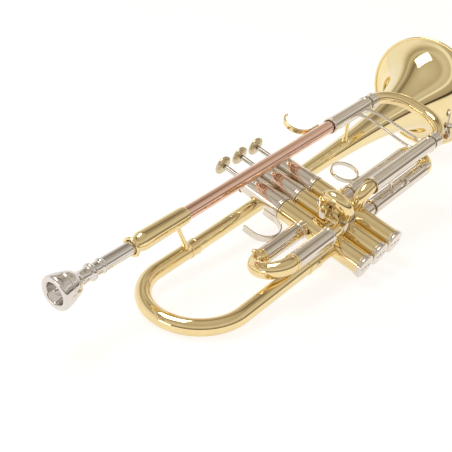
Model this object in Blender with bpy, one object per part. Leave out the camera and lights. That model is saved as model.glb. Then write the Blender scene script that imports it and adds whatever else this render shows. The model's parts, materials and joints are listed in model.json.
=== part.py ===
"""Trumpet in B flat, lying on its left side, built as an assembly of separate pieces.

Every size is in millimetres in the instrument's own frame: +X runs forward to the bell, +Y runs up
the valves to the finger buttons and +Z is the player's right. Y = 0 is the face of the bottom caps
and X = Z = 0 is the axis of the second valve. One empty carries the whole instrument and lays it on
the table, so that the world has +Z up and the table at Z = 0.
"""

import math

import bmesh
import bpy
from mathutils import Matrix, Vector

MM = 0.001
GAP = 0.3

# Valves
VALVE_PITCH = 22.7
CASING_RADIUS = 9.3
CASING_WALL = 0.9
CASING_BASE = 2.0
CASING_SPLIT = 85.0
BALUSTER_TOP = 128.5
CAP_RADIUS = 10.4
BOTTOM_CAP_HEIGHT = 4.6
TOP_CAP_HEIGHT = 7.3
PISTON_LENGTH = 60.0
PISTON_STROKE = 17.0
STEM_RADIUS = 2.2
BUTTON_RADIUS = 8.9
BUTTON_HEIGHT = 152.5

# Tubes
TUBE_RADIUS = 6.0
TUBE_WALL = 0.6
SLEEVE_WALL = 0.7
BELL_STEM_RADIUS = 6.3
BOW_SWELL = 0.6

# Leadpipe, receiver and mouthpiece
LEADPIPE_Y = 115.5
LEADPIPE_Z = 23.7
RECEIVER_MOUTH_X = -176.0
RECEIVER_LENGTH = 58.0
RECEIVER_WALL = 1.1
MOUTHPIECE_OUT = 71.0
MOUTHPIECE_IN = 20.0
RIM_RADIUS = 13.5

# Main tuning slide
SLEEVE_START_X = 75.4
SLEEVE_END_X = 135.3
LOWER_SLEEVE_FROM_VALVE = 14.3
MAIN_SPACING = 71.8
MAIN_BOW_X = 147.6
MAIN_BOW_CORNER = 30.0
BRACE_RADIUS = 1.3

# First, second and third valve slides
SLIDE1_UPPER_Y = 59.7
SLIDE1_UPPER_Z = 1.5
SLIDE1_LOWER_Y = 33.2
SLIDE1_LOWER_Z = 17.5
SLIDE1_END_X = -82.7
SLIDE2_LOWER_Y = 36.5
SLIDE2_SPACING = 20.5
SLIDE2_LEAN = 22.0
SLIDE2_SLEEVE = 22.0
SLIDE3_UPPER_Y = 61.0
SLIDE3_SPACING = 23.0
SLIDE3_FROM_VALVE = 19.3
SLIDE3_END_X = 130.0

# Bell
BELL_RIM_X = 285.0
BELL_RIM_RADIUS = 61.5
BELL_START_X = -96.0
BELL_Y = 113.5
BELL_Z = -21.6
BELL_TILT = 0.7
BELL_WALL = 0.8
BOW_START_X = -140.5
BOW_TAIL_Y = 32.0
BOW_DEPTH = 0.95

# Hand pieces
SADDLE_RADIUS = 14.6
SADDLE_WIDTH = 6.4
STRIP_THICKNESS = 1.3
RING_RADIUS = 13.0
HOOK_RADIUS = 14.0
HOOK_WIDTH = 4.8
RING_WIDTH = 3.8

LEADPIPE_RADIUS = TUBE_RADIUS - GAP
RECEIVER_RADIUS = LEADPIPE_RADIUS + GAP + RECEIVER_WALL
BOW_RADIUS = TUBE_RADIUS + BOW_SWELL
LOWER_SLEEVE_START_X = VALVE_PITCH + LOWER_SLEEVE_FROM_VALVE
SLIDE3_START_X = VALVE_PITCH + SLIDE3_FROM_VALVE
SLEEVE_BORE = TUBE_RADIUS + GAP
SLEEVE_RADIUS = SLEEVE_BORE + SLEEVE_WALL
CASING_BORE = CASING_RADIUS - CASING_WALL
PISTON_RADIUS = CASING_BORE - GAP
PORT_RADIUS = CASING_RADIUS + GAP
LOWER_SLEEVE_Y = LEADPIPE_Y - MAIN_SPACING
TOP_CAP_BASE = BALUSTER_TOP - 3.0
TOP_CAP_TOP = TOP_CAP_BASE + TOP_CAP_HEIGHT
PISTON_TOP = BALUSTER_TOP - 0.6
BUTTON_BASE = BUTTON_HEIGHT - 2.0
SLIDE2_UPPER_Y = SLIDE2_LOWER_Y + SLIDE2_SPACING
SLIDE3_LOWER_Y = SLIDE3_UPPER_Y - SLIDE3_SPACING
SIDES = 14

X_AXIS = Vector((1.0, 0.0, 0.0))
Y_AXIS = Vector((0.0, 1.0, 0.0))
Z_AXIS = Vector((0.0, 0.0, 1.0))

for item in list(bpy.data.objects):
    bpy.data.objects.remove(item, do_unlink=True)

instrument = bpy.data.objects.new("instrument", None)
bpy.context.scene.collection.objects.link(instrument)


def metal(name, colour, roughness, metallic=1.0):
    material = bpy.data.materials.new(name)
    material.use_nodes = True
    shader = material.node_tree.nodes["Principled BSDF"]
    shader.inputs["Base Color"].default_value = (*colour, 1.0)
    shader.inputs["Roughness"].default_value = roughness
    shader.inputs["Metallic"].default_value = metallic
    material.diffuse_color = (*colour, 1.0)
    return material


BRASS = metal("lacquered brass", (0.83, 0.62, 0.24), 0.12)
ROSE_BRASS = metal("lacquered rose brass", (0.78, 0.45, 0.32), 0.14)
NICKEL = metal("nickel silver", (0.74, 0.71, 0.66), 0.15)
SILVER = metal("silver plate", (0.80, 0.79, 0.80), 0.10)
MONEL = metal("piston alloy", (0.62, 0.61, 0.58), 0.25)
STEEL = metal("spring steel", (0.55, 0.53, 0.50), 0.30)
CORK = metal("cork", (0.62, 0.43, 0.26), 0.90, 0.0)


def place(name, bm, material, origin):
    """Turn a bmesh in instrument millimetres into a named object with its origin on `origin`."""
    bmesh.ops.translate(bm, verts=bm.verts, vec=-origin)
    bmesh.ops.scale(bm, verts=bm.verts, vec=(MM, MM, MM))
    bmesh.ops.recalc_face_normals(bm, faces=bm.faces)
    mesh = bpy.data.meshes.new(name)
    bm.to_mesh(mesh)
    bm.free()
    mesh.materials.append(material)
    mesh.shade_smooth()
    mesh.set_sharp_from_angle(angle=math.radians(40.0))
    thing = bpy.data.objects.new(name, mesh)
    bpy.context.scene.collection.objects.link(thing)
    thing.parent = instrument
    thing.location = origin * MM
    return thing


def circle(centre, across, up, radius, sides):
    """Points of a circle in the plane of the two unit vectors `across` and `up`."""
    points = []
    for step in range(sides):
        angle = 2.0 * math.pi * step / sides
        points.append(centre + across * (radius * math.cos(angle)) + up * (radius * math.sin(angle)))
    return points


def skin(bm, rings, closed):
    """Join rings of points into a tube; a one-point ring is a pole, open ends are capped."""
    rows = []
    for ring in rings:
        rows.append([bm.verts.new(point) for point in ring])
    pairs = list(zip(rows, rows[1:]))
    if closed:
        pairs.append((rows[-1], rows[0]))
    for first, second in pairs:
        count = max(len(first), len(second))
        for step in range(count):
            after = (step + 1) % count
            if len(first) == 1:
                bm.faces.new((first[0], second[step], second[after]))
            elif len(second) == 1:
                bm.faces.new((first[step], first[after], second[0]))
            else:
                bm.faces.new((first[step], first[after], second[after], second[step]))
    if not closed:
        for row in (rows[0], rows[-1]):
            if len(row) > 1:
                bm.faces.new(row)


def side_vectors(axis):
    """Two unit vectors square to `axis` and to each other."""
    helper = Y_AXIS if abs(axis.dot(Y_AXIS)) < 0.9 else Z_AXIS
    across = axis.cross(helper).normalized()
    return across, axis.cross(across).normalized()


def turned_mesh(profile, base, axis, sides, closed):
    """Revolve (distance along the axis, radius) pairs; a closed profile leaves a bore."""
    across, up = side_vectors(axis)
    rings = []
    for along, radius in profile:
        centre = base + axis * along
        if radius < 1e-6:
            rings.append([centre])
        else:
            rings.append(circle(centre, across, up, radius, sides))
    bm = bmesh.new()
    skin(bm, rings, closed)
    return bm


def turned(name, profile, base, axis, material, sides=SIDES, closed=True, origin=None):
    bm = turned_mesh(profile, base, axis, sides, closed)
    return place(name, bm, material, base if origin is None else origin)


def swept_mesh(path, outer, inner, sides=SIDES):
    """Sweep a round tube along a path; `outer` and `inner` give a radius for each point."""
    tangents = []
    for index in range(len(path)):
        before = path[max(index - 1, 0)]
        after = path[min(index + 1, len(path) - 1)]
        tangents.append((after - before).normalized())
    across, up = side_vectors(tangents[0])
    frames = []
    for tangent in tangents:
        across = (across - tangent * across.dot(tangent)).normalized()
        frames.append((across, tangent.cross(across).normalized()))
    rings = []
    for point, frame, radius in zip(path, frames, outer):
        rings.append(circle(point, frame[0], frame[1], radius, sides))
    if inner:
        for point, frame, radius in reversed(list(zip(path, frames, inner))):
            rings.append(circle(point, frame[0], frame[1], radius, sides))
    bm = bmesh.new()
    skin(bm, rings, bool(inner))
    return bm


def strip_mesh(path, side, width, thickness, closed=False):
    """Sweep a flat strip along a planar path; `side` is the direction of the strip's width."""
    rings = []
    count = len(path)
    for index in range(count):
        if closed:
            tangent = (path[(index + 1) % count] - path[index - 1]).normalized()
        else:
            tangent = (path[min(index + 1, count - 1)] - path[max(index - 1, 0)]).normalized()
        normal = tangent.cross(side).normalized()
        half_side = side * (width / 2.0)
        half_normal = normal * (thickness / 2.0)
        centre = path[index]
        ring = []
        for left, out in ((-1, -1), (1, -1), (1, 1), (-1, 1)):
            ring.append(centre + half_side * left + half_normal * out)
        rings.append(ring)
    bm = bmesh.new()
    skin(bm, rings, closed)
    return bm


def arc(centre, first, second, radius, start, stop, steps):
    """Points on an arc, with angles in degrees measured from `first` towards `second`."""
    points = []
    for step in range(steps + 1):
        angle = math.radians(start + (stop - start) * step / steps)
        points.append(centre + first * (radius * math.cos(angle)) + second * (radius * math.sin(angle)))
    return points


def box_mesh(centre, size, rotation=None):
    bm = bmesh.new()
    bmesh.ops.create_cube(bm, size=1.0)
    bmesh.ops.scale(bm, verts=bm.verts, vec=size)
    if rotation is not None:
        bmesh.ops.rotate(bm, verts=bm.verts, cent=(0.0, 0.0, 0.0), matrix=rotation)
    bmesh.ops.translate(bm, verts=bm.verts, vec=centre)
    return bm


def cutter(name, bm):
    """A hidden shape used only by Boolean modifiers."""
    shape = place(name, bm, BRASS, Vector((0.0, 0.0, 0.0)))
    shape.hide_render = True
    shape.display_type = "WIRE"
    return shape


def rod_cutter(name, base, axis, length, radius):
    profile = [(0.0, 0.0), (0.0, radius), (length, radius), (length, 0.0)]
    return cutter(name, turned_mesh(profile, base, axis, 32, False))


def boolean(thing, tool, operation="DIFFERENCE"):
    modifier = thing.modifiers.new(tool.name, "BOOLEAN")
    modifier.operation = operation
    modifier.solver = "EXACT"
    modifier.object = tool


def pipe_profile(start, stop, outer, inner):
    """Closed profile of a plain straight tube."""
    return [(start, outer), (stop, outer), (stop, inner), (start, inner)]


# Mouthpiece: one turned, silver-plated piece with a cup, two turned rings and a tapered shank.
shank_length = MOUTHPIECE_OUT + MOUTHPIECE_IN
rim_face = Vector((RECEIVER_MOUTH_X - MOUTHPIECE_OUT, LEADPIPE_Y, LEADPIPE_Z))
shank_radius = 5.2
shank_end_radius = 4.8
mouthpiece_profile = [
    (0.0, RIM_RADIUS - 2.4),
    (1.0, RIM_RADIUS - 0.6),
    (2.6, RIM_RADIUS),
    (5.8, RIM_RADIUS - 0.2),
    (7.0, RIM_RADIUS - 1.5),
    (8.0, RIM_RADIUS - 1.0),
    (9.2, RIM_RADIUS - 1.6),
    (13.0, RIM_RADIUS - 2.5),
    (17.0, RIM_RADIUS - 4.6),
    (21.0, RIM_RADIUS - 6.7),
    (26.0, 5.3),
    (30.0, 5.3),
    (31.2, 6.8),
    (33.6, 6.8),
    (35.0, 5.2),
    (40.0, 5.1),
    (41.4, 6.1),
    (43.2, 6.1),
    (44.6, 5.4),
    (MOUTHPIECE_OUT, shank_radius),
    (shank_length, shank_end_radius),
    (shank_length, 4.1),
    (20.0, 1.9),
    (12.0, 1.9),
    (9.0, 4.8),
    (5.0, 7.6),
    (0.6, 8.5),
]
turned("mouthpiece", mouthpiece_profile, rim_face, X_AXIS, SILVER, 18)

# Receiver: drawn brass socket, belled at its mouth, that holds the mouthpiece and the leadpipe.
receiver_base = Vector((RECEIVER_MOUTH_X, LEADPIPE_Y, LEADPIPE_Z))
receiver_bore = shank_radius + GAP
leadpipe_socket = LEADPIPE_RADIUS + GAP
socket_start = MOUTHPIECE_IN + 4.0
receiver_profile = [
    (0.0, RECEIVER_RADIUS + 0.2),
    (0.8, RECEIVER_RADIUS + 0.7),
    (1.8, RECEIVER_RADIUS + 0.4),
    (3.2, RECEIVER_RADIUS - 0.7),
    (6.4, RECEIVER_RADIUS - 0.7),
    (8.0, RECEIVER_RADIUS + 0.3),
    (RECEIVER_LENGTH - 6.0, RECEIVER_RADIUS),
    (RECEIVER_LENGTH, RECEIVER_RADIUS - 0.4),
    (RECEIVER_LENGTH, leadpipe_socket),
    (socket_start, leadpipe_socket),
    (socket_start, receiver_bore),
    (0.0, receiver_bore + 0.2),
]
turned("receiver", receiver_profile, receiver_base, X_AXIS, BRASS)

# Leadpipe: rose brass tube from inside the receiver to inside the upper tuning-slide sleeve.
leadpipe_start = RECEIVER_MOUTH_X + socket_start + GAP
leadpipe_end = SLEEVE_START_X + 8.0
leadpipe_profile = pipe_profile(leadpipe_start, leadpipe_end, LEADPIPE_RADIUS, LEADPIPE_RADIUS - TUBE_WALL)
leadpipe_axis = Vector((0.0, LEADPIPE_Y, LEADPIPE_Z))
turned("leadpipe", leadpipe_profile, leadpipe_axis, X_AXIS, ROSE_BRASS)

# Tuning-slide outer sleeves: nickel silver tubes with a raised ring where the inner legs come out.
lower_axis = Vector((0.0, LOWER_SLEEVE_Y, LEADPIPE_Z))


def main_sleeve(name, start, axis_point):
    profile = [
        (start, SLEEVE_RADIUS + 0.5),
        (start + 2.0, SLEEVE_RADIUS + 0.5),
        (start + 2.6, SLEEVE_RADIUS),
        (SLEEVE_END_X - 2.6, SLEEVE_RADIUS),
        (SLEEVE_END_X - 2.0, SLEEVE_RADIUS + 0.7),
        (SLEEVE_END_X, SLEEVE_RADIUS + 0.7),
        (SLEEVE_END_X, SLEEVE_BORE),
        (start, SLEEVE_BORE),
    ]
    turned(name, profile, axis_point, X_AXIS, NICKEL)


main_sleeve("main_sleeve_upper", SLEEVE_START_X, leadpipe_axis)
main_sleeve("main_sleeve_lower", LOWER_SLEEVE_START_X, lower_axis)
ring_radius = SLEEVE_RADIUS + 0.7 + GAP
sleeve_cuts = []
for name, axis_point in (("cut_upper_ring", leadpipe_axis), ("cut_lower_ring", lower_axis)):
    base = axis_point + X_AXIS * SLEEVE_START_X
    sleeve_cuts.append(rod_cutter(name, base, X_AXIS, MAIN_BOW_X - SLEEVE_START_X, ring_radius))

# Port cutters: each stands for one valve casing, so that a tube soldered to it ends on its wall.
valve_x = [-VALVE_PITCH, 0.0, VALVE_PITCH]
port_cutters = []
for number, x in enumerate(valve_x, start=1):
    base = Vector((x, -10.0, 0.0))
    port_cutters.append(rod_cutter("cut_casing_%d" % number, base, Y_AXIS, BALUSTER_TOP, PORT_RADIUS))

# Knuckle: brass elbow that turns the lower sleeve into the right side of the third casing.
elbow = LEADPIPE_Z - CASING_RADIUS - 0.4
elbow_centre = Vector((VALVE_PITCH + elbow, LOWER_SLEEVE_Y, LEADPIPE_Z - elbow))
knuckle_path = [Vector((LOWER_SLEEVE_START_X + 9.0, LOWER_SLEEVE_Y, LEADPIPE_Z))]
knuckle_path += arc(elbow_centre, Z_AXIS, -X_AXIS, elbow, 0.0, 90.0, 7)
knuckle_path.append(Vector((VALVE_PITCH, LOWER_SLEEVE_Y, 3.0)))
tube_bore = TUBE_RADIUS - TUBE_WALL
knuckle = place(
    "main_knuckle",
    swept_mesh(knuckle_path, [TUBE_RADIUS] * 10, [tube_bore] * 10),
    BRASS,
    lower_axis,
)
boolean(knuckle, port_cutters[2])


# Tuning-slide inner legs: each has a socket at its end that takes the bow.
def main_leg(name, axis_point):
    start = leadpipe_end + 5.0
    profile = [
        (start, TUBE_RADIUS),
        (SLEEVE_END_X + 4.0, TUBE_RADIUS),
        (SLEEVE_END_X + 4.6, SLEEVE_RADIUS),
        (MAIN_BOW_X + 2.0, SLEEVE_RADIUS),
        (MAIN_BOW_X + 2.0, SLEEVE_BORE),
        (MAIN_BOW_X - 5.0, SLEEVE_BORE),
        (MAIN_BOW_X - 5.0, tube_bore),
        (start, tube_bore),
    ]
    turned(name, profile, axis_point, X_AXIS, NICKEL)


main_leg("main_leg_upper", leadpipe_axis)
main_leg("main_leg_lower", lower_axis)

# Tuning bow: brass tube bent round two corners, from one leg's socket to the other's.
upper_corner = Vector((MAIN_BOW_X, LEADPIPE_Y - MAIN_BOW_CORNER, LEADPIPE_Z))
lower_corner = Vector((MAIN_BOW_X, LOWER_SLEEVE_Y + MAIN_BOW_CORNER, LEADPIPE_Z))
bow_path = [Vector((MAIN_BOW_X - 4.5, LEADPIPE_Y, LEADPIPE_Z))]
bow_path += arc(upper_corner, Y_AXIS, X_AXIS, MAIN_BOW_CORNER, 0.0, 90.0, 7)
bow_path += arc(lower_corner, X_AXIS, -Y_AXIS, MAIN_BOW_CORNER, 0.0, 90.0, 7)
bow_path.append(Vector((MAIN_BOW_X - 4.5, LOWER_SLEEVE_Y, LEADPIPE_Z)))
bow_count = len(bow_path)
place(
    "tuning_bow",
    swept_mesh(bow_path, [TUBE_RADIUS] * bow_count, [tube_bore] * bow_count),
    BRASS,
    leadpipe_axis,
)


# Tuning-slide braces: two thin rods between the outer sleeves, curved in where they meet the upper.
def tuning_brace(name, upper_x, lower_x):
    top = LEADPIPE_Y - SLEEVE_RADIUS + 1.5
    bottom = LOWER_SLEEVE_Y + SLEEVE_RADIUS - 1.5
    path = []
    for step in range(11):
        share = step / 10.0
        lean = upper_x + (lower_x - upper_x) * share
        swing = 6.0 * math.sin(math.pi * share) * (1.0 - share) ** 2
        path.append(Vector((lean + swing, top + (bottom - top) * share, LEADPIPE_Z)))
    radii = [BRACE_RADIUS] * len(path)
    radii[0] = BRACE_RADIUS * 1.8
    radii[-1] = BRACE_RADIUS * 1.8
    brace = place(name, swept_mesh(path, radii, None, 10), NICKEL, path[0])
    for sleeve_cut in sleeve_cuts:
        boolean(brace, sleeve_cut)


tuning_brace("tuning_brace_front", SLEEVE_END_X - 3.6, SLEEVE_END_X - 1.8)
tuning_brace("tuning_brace_rear", SLEEVE_END_X - 18.0, SLEEVE_END_X - 19.5)

# Water key: saddle on the bow, lever with a finger pad, cork that closes the drain, and its spring.
key_centre = lower_corner
key_reach = MAIN_BOW_CORNER + TUBE_RADIUS
key_angle = 46.0
cork_angle = 66.0
pad_angle = 17.0


def round_bow(angle, reach, side=0.0):
    """Point outside the lower corner of the bow: angle below +X, distance from the corner's centre."""
    turn = math.radians(angle)
    ahead = X_AXIS * (reach * math.cos(turn))
    down = Y_AXIS * (-reach * math.sin(turn))
    return key_centre + ahead + down + Z_AXIS * side


key_tilt = Matrix.Rotation(math.radians(-key_angle), 3, "Z")
key_pivot = round_bow(key_angle, key_reach + 4.6)
saddle_body = place(
    "water_key_saddle",
    box_mesh(round_bow(key_angle, key_reach + 3.2), Vector((6.8, 5.0, 10.0)), key_tilt),
    NICKEL,
    key_pivot,
)
slot_cut = cutter(
    "cut_key_slot",
    box_mesh(round_bow(key_angle, key_reach + 5.6), Vector((8.4, 8.0, 6.8)), key_tilt),
)
bow_cut = cutter("cut_bow", swept_mesh(bow_path, [TUBE_RADIUS + GAP] * bow_count, None, 32))
boolean(saddle_body, slot_cut)
boolean(saddle_body, bow_cut)

lever_path = [
    round_bow(cork_angle + 3.0, key_reach + 4.2),
    round_bow(cork_angle - 5.0, key_reach + 4.4),
    round_bow(key_angle, key_reach + 4.6),
    round_bow(key_angle - 14.0, key_reach + 8.5),
    round_bow(pad_angle + 4.0, key_reach + 17.0),
]
lever = place(
    "water_key_lever",
    strip_mesh(lever_path, Z_AXIS, 3.0, 1.6),
    NICKEL,
    key_pivot,
)
barrel_cut = rod_cutter("join_barrel", key_pivot - Z_AXIS * 3.1, Z_AXIS, 6.2, 1.7)
pad_centre = round_bow(pad_angle, key_reach + 18.0)
pad_axis = (pad_centre - round_bow(key_angle, key_reach + 4.6)).normalized()
pad_side = pad_axis.cross(Z_AXIS).normalized()
pad_rings = []
for rise in (-0.8, 0.8):
    ring = []
    for step in range(14):
        angle = 2.0 * math.pi * step / 14
        along = pad_axis * (6.2 * math.cos(angle))
        over = Z_AXIS * (4.2 * math.sin(angle))
        ring.append(pad_centre + along + over + pad_side * rise)
    pad_rings.append(ring)
pad_mesh = bmesh.new()
skin(pad_mesh, pad_rings, False)
pad_join = cutter("join_pad", pad_mesh)
cup_axis = (round_bow(cork_angle, 100.0) - round_bow(cork_angle, 0.0)).normalized()
cup_join = rod_cutter("join_cup", round_bow(cork_angle, key_reach + 2.4), cup_axis, 2.4, 3.6)
boolean(lever, barrel_cut, "UNION")
boolean(lever, pad_join, "UNION")
boolean(lever, cup_join, "UNION")
cork_piece = place(
    "water_key_cork",
    turned_mesh(
        [(0.0, 0.0), (0.0, 2.8), (3.1, 2.8), (3.1, 0.0)],
        round_bow(cork_angle, key_reach - 1.0),
        cup_axis,
        14,
        False,
    ),
    CORK,
    key_pivot,
)
boolean(cork_piece, bow_cut)

# Water key spring: one loop round the lever's barrel, with a leg beside each arm of the lever.
key_out = (key_pivot - key_centre).normalized()
key_along = Z_AXIS.cross(key_out)
key_spring_path = [key_pivot + key_along * 6.5 - key_out + Z_AXIS * 2.0]
for step in range(11):
    turn = math.radians(-90.0 - 36.0 * step)
    loop = key_along * (2.3 * math.cos(turn)) + key_out * (2.3 * math.sin(turn))
    key_spring_path.append(key_pivot + loop + Z_AXIS * (2.0 + 0.09 * step))
key_spring_path.append(key_pivot - key_along * 4.5 - key_out * 2.3 + Z_AXIS * 2.9)
wire = [0.22] * len(key_spring_path)
place("water_key_spring", swept_mesh(key_spring_path, wire, None, 5), STEEL, key_pivot)

# Valve casings: brass tube below, nickel baluster above, with a ring where they meet.
casing_profile = pipe_profile(CASING_BASE, CASING_SPLIT - GAP, CASING_RADIUS, CASING_BORE)
baluster_middle = (CASING_SPLIT + BALUSTER_TOP) / 2.0
baluster_profile = [
    (CASING_SPLIT, CASING_RADIUS + 0.7),
    (CASING_SPLIT + 1.4, CASING_RADIUS + 0.7),
    (CASING_SPLIT + 2.2, CASING_RADIUS),
    (baluster_middle, CASING_RADIUS - 0.2),
    (BALUSTER_TOP, CASING_RADIUS),
    (BALUSTER_TOP, CASING_BORE),
    (CASING_SPLIT, CASING_BORE),
]
bottom_cap_profile = [
    (0.0, 1.6),
    (0.0, CAP_RADIUS - 0.6),
    (0.6, CAP_RADIUS),
    (1.8, CAP_RADIUS),
    (BOTTOM_CAP_HEIGHT, CAP_RADIUS - 0.2),
    (BOTTOM_CAP_HEIGHT, CASING_RADIUS + GAP),
    (CASING_BASE - 0.5, CASING_RADIUS + GAP),
    (CASING_BASE - 0.5, 1.6),
]
stem_hole = STEM_RADIUS + 0.5
top_cap_profile = [
    (TOP_CAP_BASE, CASING_RADIUS + GAP),
    (TOP_CAP_BASE, CAP_RADIUS),
    (TOP_CAP_TOP - 2.2, CAP_RADIUS),
    (TOP_CAP_TOP - 0.8, CAP_RADIUS - 1.4),
    (TOP_CAP_TOP, CAP_RADIUS - 4.4),
    (TOP_CAP_TOP, stem_hole),
    (BALUSTER_TOP + 0.7, stem_hole),
    (BALUSTER_TOP + 0.7, CASING_RADIUS + GAP),
]

# Pistons: hollow from below, closed on top, with the stem that passes through the top cap.
piston_base = PISTON_TOP - PISTON_LENGTH
piston_profile = [
    (PISTON_TOP - 2.0, 0.0),
    (PISTON_TOP - 2.0, PISTON_RADIUS - 1.2),
    (piston_base, PISTON_RADIUS - 1.2),
    (piston_base, PISTON_RADIUS),
    (PISTON_TOP, PISTON_RADIUS),
    (PISTON_TOP, STEM_RADIUS),
    (BUTTON_BASE - GAP, STEM_RADIUS),
    (BUTTON_BASE - GAP, 0.0),
]
button_profile = [
    (BUTTON_BASE, 0.0),
    (BUTTON_BASE, 4.2),
    (BUTTON_BASE + 0.5, BUTTON_RADIUS - 1.7),
    (BUTTON_BASE + 1.6, BUTTON_RADIUS - 0.3),
    (BUTTON_BASE + 2.6, BUTTON_RADIUS),
    (BUTTON_BASE + 3.8, BUTTON_RADIUS - 0.4),
    (BUTTON_BASE + 4.8, BUTTON_RADIUS - 1.7),
    (BUTTON_BASE + 4.4, BUTTON_RADIUS - 2.7),
    (BUTTON_BASE + 4.4, 0.0),
]

# Valve springs: drawn at their pressed length, so that a piston at the foot of its stroke clears them.
spring_base = CASING_BASE + 0.4
spring_top = piston_base - PISTON_STROKE - 1.2
spring_turns = 6
coil_radius = PISTON_RADIUS - 1.5
spring_steps = spring_turns * 8
for number, x in enumerate(valve_x, start=1):
    axis_point = Vector((x, 0.0, 0.0))
    turned("casing_%d" % number, casing_profile, axis_point, Y_AXIS, BRASS)
    turned("baluster_%d" % number, baluster_profile, axis_point, Y_AXIS, NICKEL)
    turned("bottom_cap_%d" % number, bottom_cap_profile, axis_point, Y_AXIS, NICKEL)
    turned("top_cap_%d" % number, top_cap_profile, axis_point, Y_AXIS, NICKEL)
    turned("piston_%d" % number, piston_profile, axis_point, Y_AXIS, MONEL, closed=False)
    turned("button_%d" % number, button_profile, axis_point, Y_AXIS, NICKEL, closed=False)
    spring_path = []
    for step in range(spring_steps + 1):
        turn = 2.0 * math.pi * spring_turns * step / spring_steps
        height = spring_base + 0.6 + (spring_top - spring_base - 1.2) * step / spring_steps
        coil = X_AXIS * (coil_radius * math.cos(turn)) + Z_AXIS * (coil_radius * math.sin(turn))
        spring_path.append(axis_point + coil + Y_AXIS * height)
    wire = [0.5] * len(spring_path)
    place("valve_spring_%d" % number, swept_mesh(spring_path, wire, None, 4), STEEL, axis_point)

# Crossover tubes: carry the air from one casing to the next.
for name, first, y in (("crossover_12", 0, 47.0), ("crossover_23", 1, 63.0)):
    start = Vector((valve_x[first], y, 0.0))
    profile = pipe_profile(0.0, VALVE_PITCH, TUBE_RADIUS - 0.6, TUBE_RADIUS - 1.2)
    crossover = turned(name, profile, start, X_AXIS, BRASS)
    boolean(crossover, port_cutters[first])
    boolean(crossover, port_cutters[first + 1])

# First slide: fixed inner legs, and outer sleeves that move back with the crook and the thumb saddle.
slide1_upper = Vector((0.0, SLIDE1_UPPER_Y, SLIDE1_UPPER_Z))
slide1_lower = Vector((0.0, SLIDE1_LOWER_Y, SLIDE1_LOWER_Z))
slide1_leg_end = SLIDE1_END_X + 4.0
sleeve1_start = -VALVE_PITCH - CASING_RADIUS - 3.0
leg1 = turned(
    "slide1_leg_upper",
    pipe_profile(slide1_leg_end, -VALVE_PITCH, TUBE_RADIUS, tube_bore),
    slide1_upper,
    X_AXIS,
    NICKEL,
)
boolean(leg1, port_cutters[0])
elbow1 = SLIDE1_LOWER_Z - CASING_RADIUS - 0.6
elbow1_centre = Vector((-VALVE_PITCH - elbow1, SLIDE1_LOWER_Y, SLIDE1_LOWER_Z - elbow1))
leg1_path = [Vector((slide1_leg_end, SLIDE1_LOWER_Y, SLIDE1_LOWER_Z))]
leg1_path += arc(elbow1_centre, Z_AXIS, X_AXIS, elbow1, 0.0, 90.0, 6)
leg1_path.append(Vector((-VALVE_PITCH, SLIDE1_LOWER_Y, 3.0)))
leg1_lower = place(
    "slide1_leg_lower",
    swept_mesh(leg1_path, [TUBE_RADIUS] * 9, [tube_bore] * 9),
    BRASS,
    slide1_lower,
)
boolean(leg1_lower, port_cutters[0])
bow_tail = Vector((0.0, BOW_TAIL_Y, 0.0))
tail_cut = rod_cutter("cut_bow_tail", bow_tail - X_AXIS * 48.0, X_AXIS, 48.0 - VALVE_PITCH, BOW_RADIUS + GAP)
boolean(leg1_lower, tail_cut)


def slide_sleeve(name, start, stop, axis_point, direction, ring=0.6):
    profile = [
        (start, SLEEVE_RADIUS + ring),
        (start + 1.6 * direction, SLEEVE_RADIUS + ring),
        (start + 2.2 * direction, SLEEVE_RADIUS),
        (stop, SLEEVE_RADIUS),
        (stop, SLEEVE_BORE),
        (start, SLEEVE_BORE),
    ]
    return turned(name, profile, axis_point, X_AXIS, NICKEL)


slide_sleeve("slide1_sleeve_upper", sleeve1_start, SLIDE1_END_X, slide1_upper, -1.0)
slide_sleeve("slide1_sleeve_lower", sleeve1_start - 2.0, SLIDE1_END_X, slide1_lower, -1.0)


def crook_mesh(upper, lower, out, ferrule):
    """Half-circle tube between two parallel legs, with a short ferrule at each end."""
    middle = (upper + lower) / 2.0
    reach = (upper - lower).length / 2.0
    rise = (upper - lower).normalized()
    path = [upper, upper + out * ferrule]
    path += arc(middle + out * (ferrule + 0.4), rise, out, reach, 0.0, 180.0, 8)
    path += [lower + out * ferrule, lower]
    outer = [SLEEVE_RADIUS] * 2 + [BOW_RADIUS] * 9 + [SLEEVE_RADIUS] * 2
    inner = [tube_bore] * len(path)
    return swept_mesh(path, outer, inner)


def pull_knob(thing, foot, direction):
    """Small round knob on a crook, to draw the slide by."""
    profile = [(5.0, 0.0), (5.0, 1.6), (7.4, 1.6), (8.0, 2.6), (9.6, 2.6), (10.4, 1.6), (10.4, 0.0)]
    shape = cutter("join_knob_" + thing.name, turned_mesh(profile, foot, direction, 12, False))
    boolean(thing, shape, "UNION")


crook1_base = X_AXIS * (SLIDE1_END_X - GAP)
crook1 = place(
    "slide1_crook",
    crook_mesh(slide1_upper + crook1_base, slide1_lower + crook1_base, -X_AXIS, 3.0),
    BRASS,
    slide1_upper,
)

crook1_knob = crook1_base + slide1_upper - X_AXIS * 8.0
crook1_rise = (slide1_upper - slide1_lower).normalized()
pull_knob(crook1, crook1_knob - crook1_rise * 0.8, X_AXIS.cross(crook1_rise))

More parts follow.
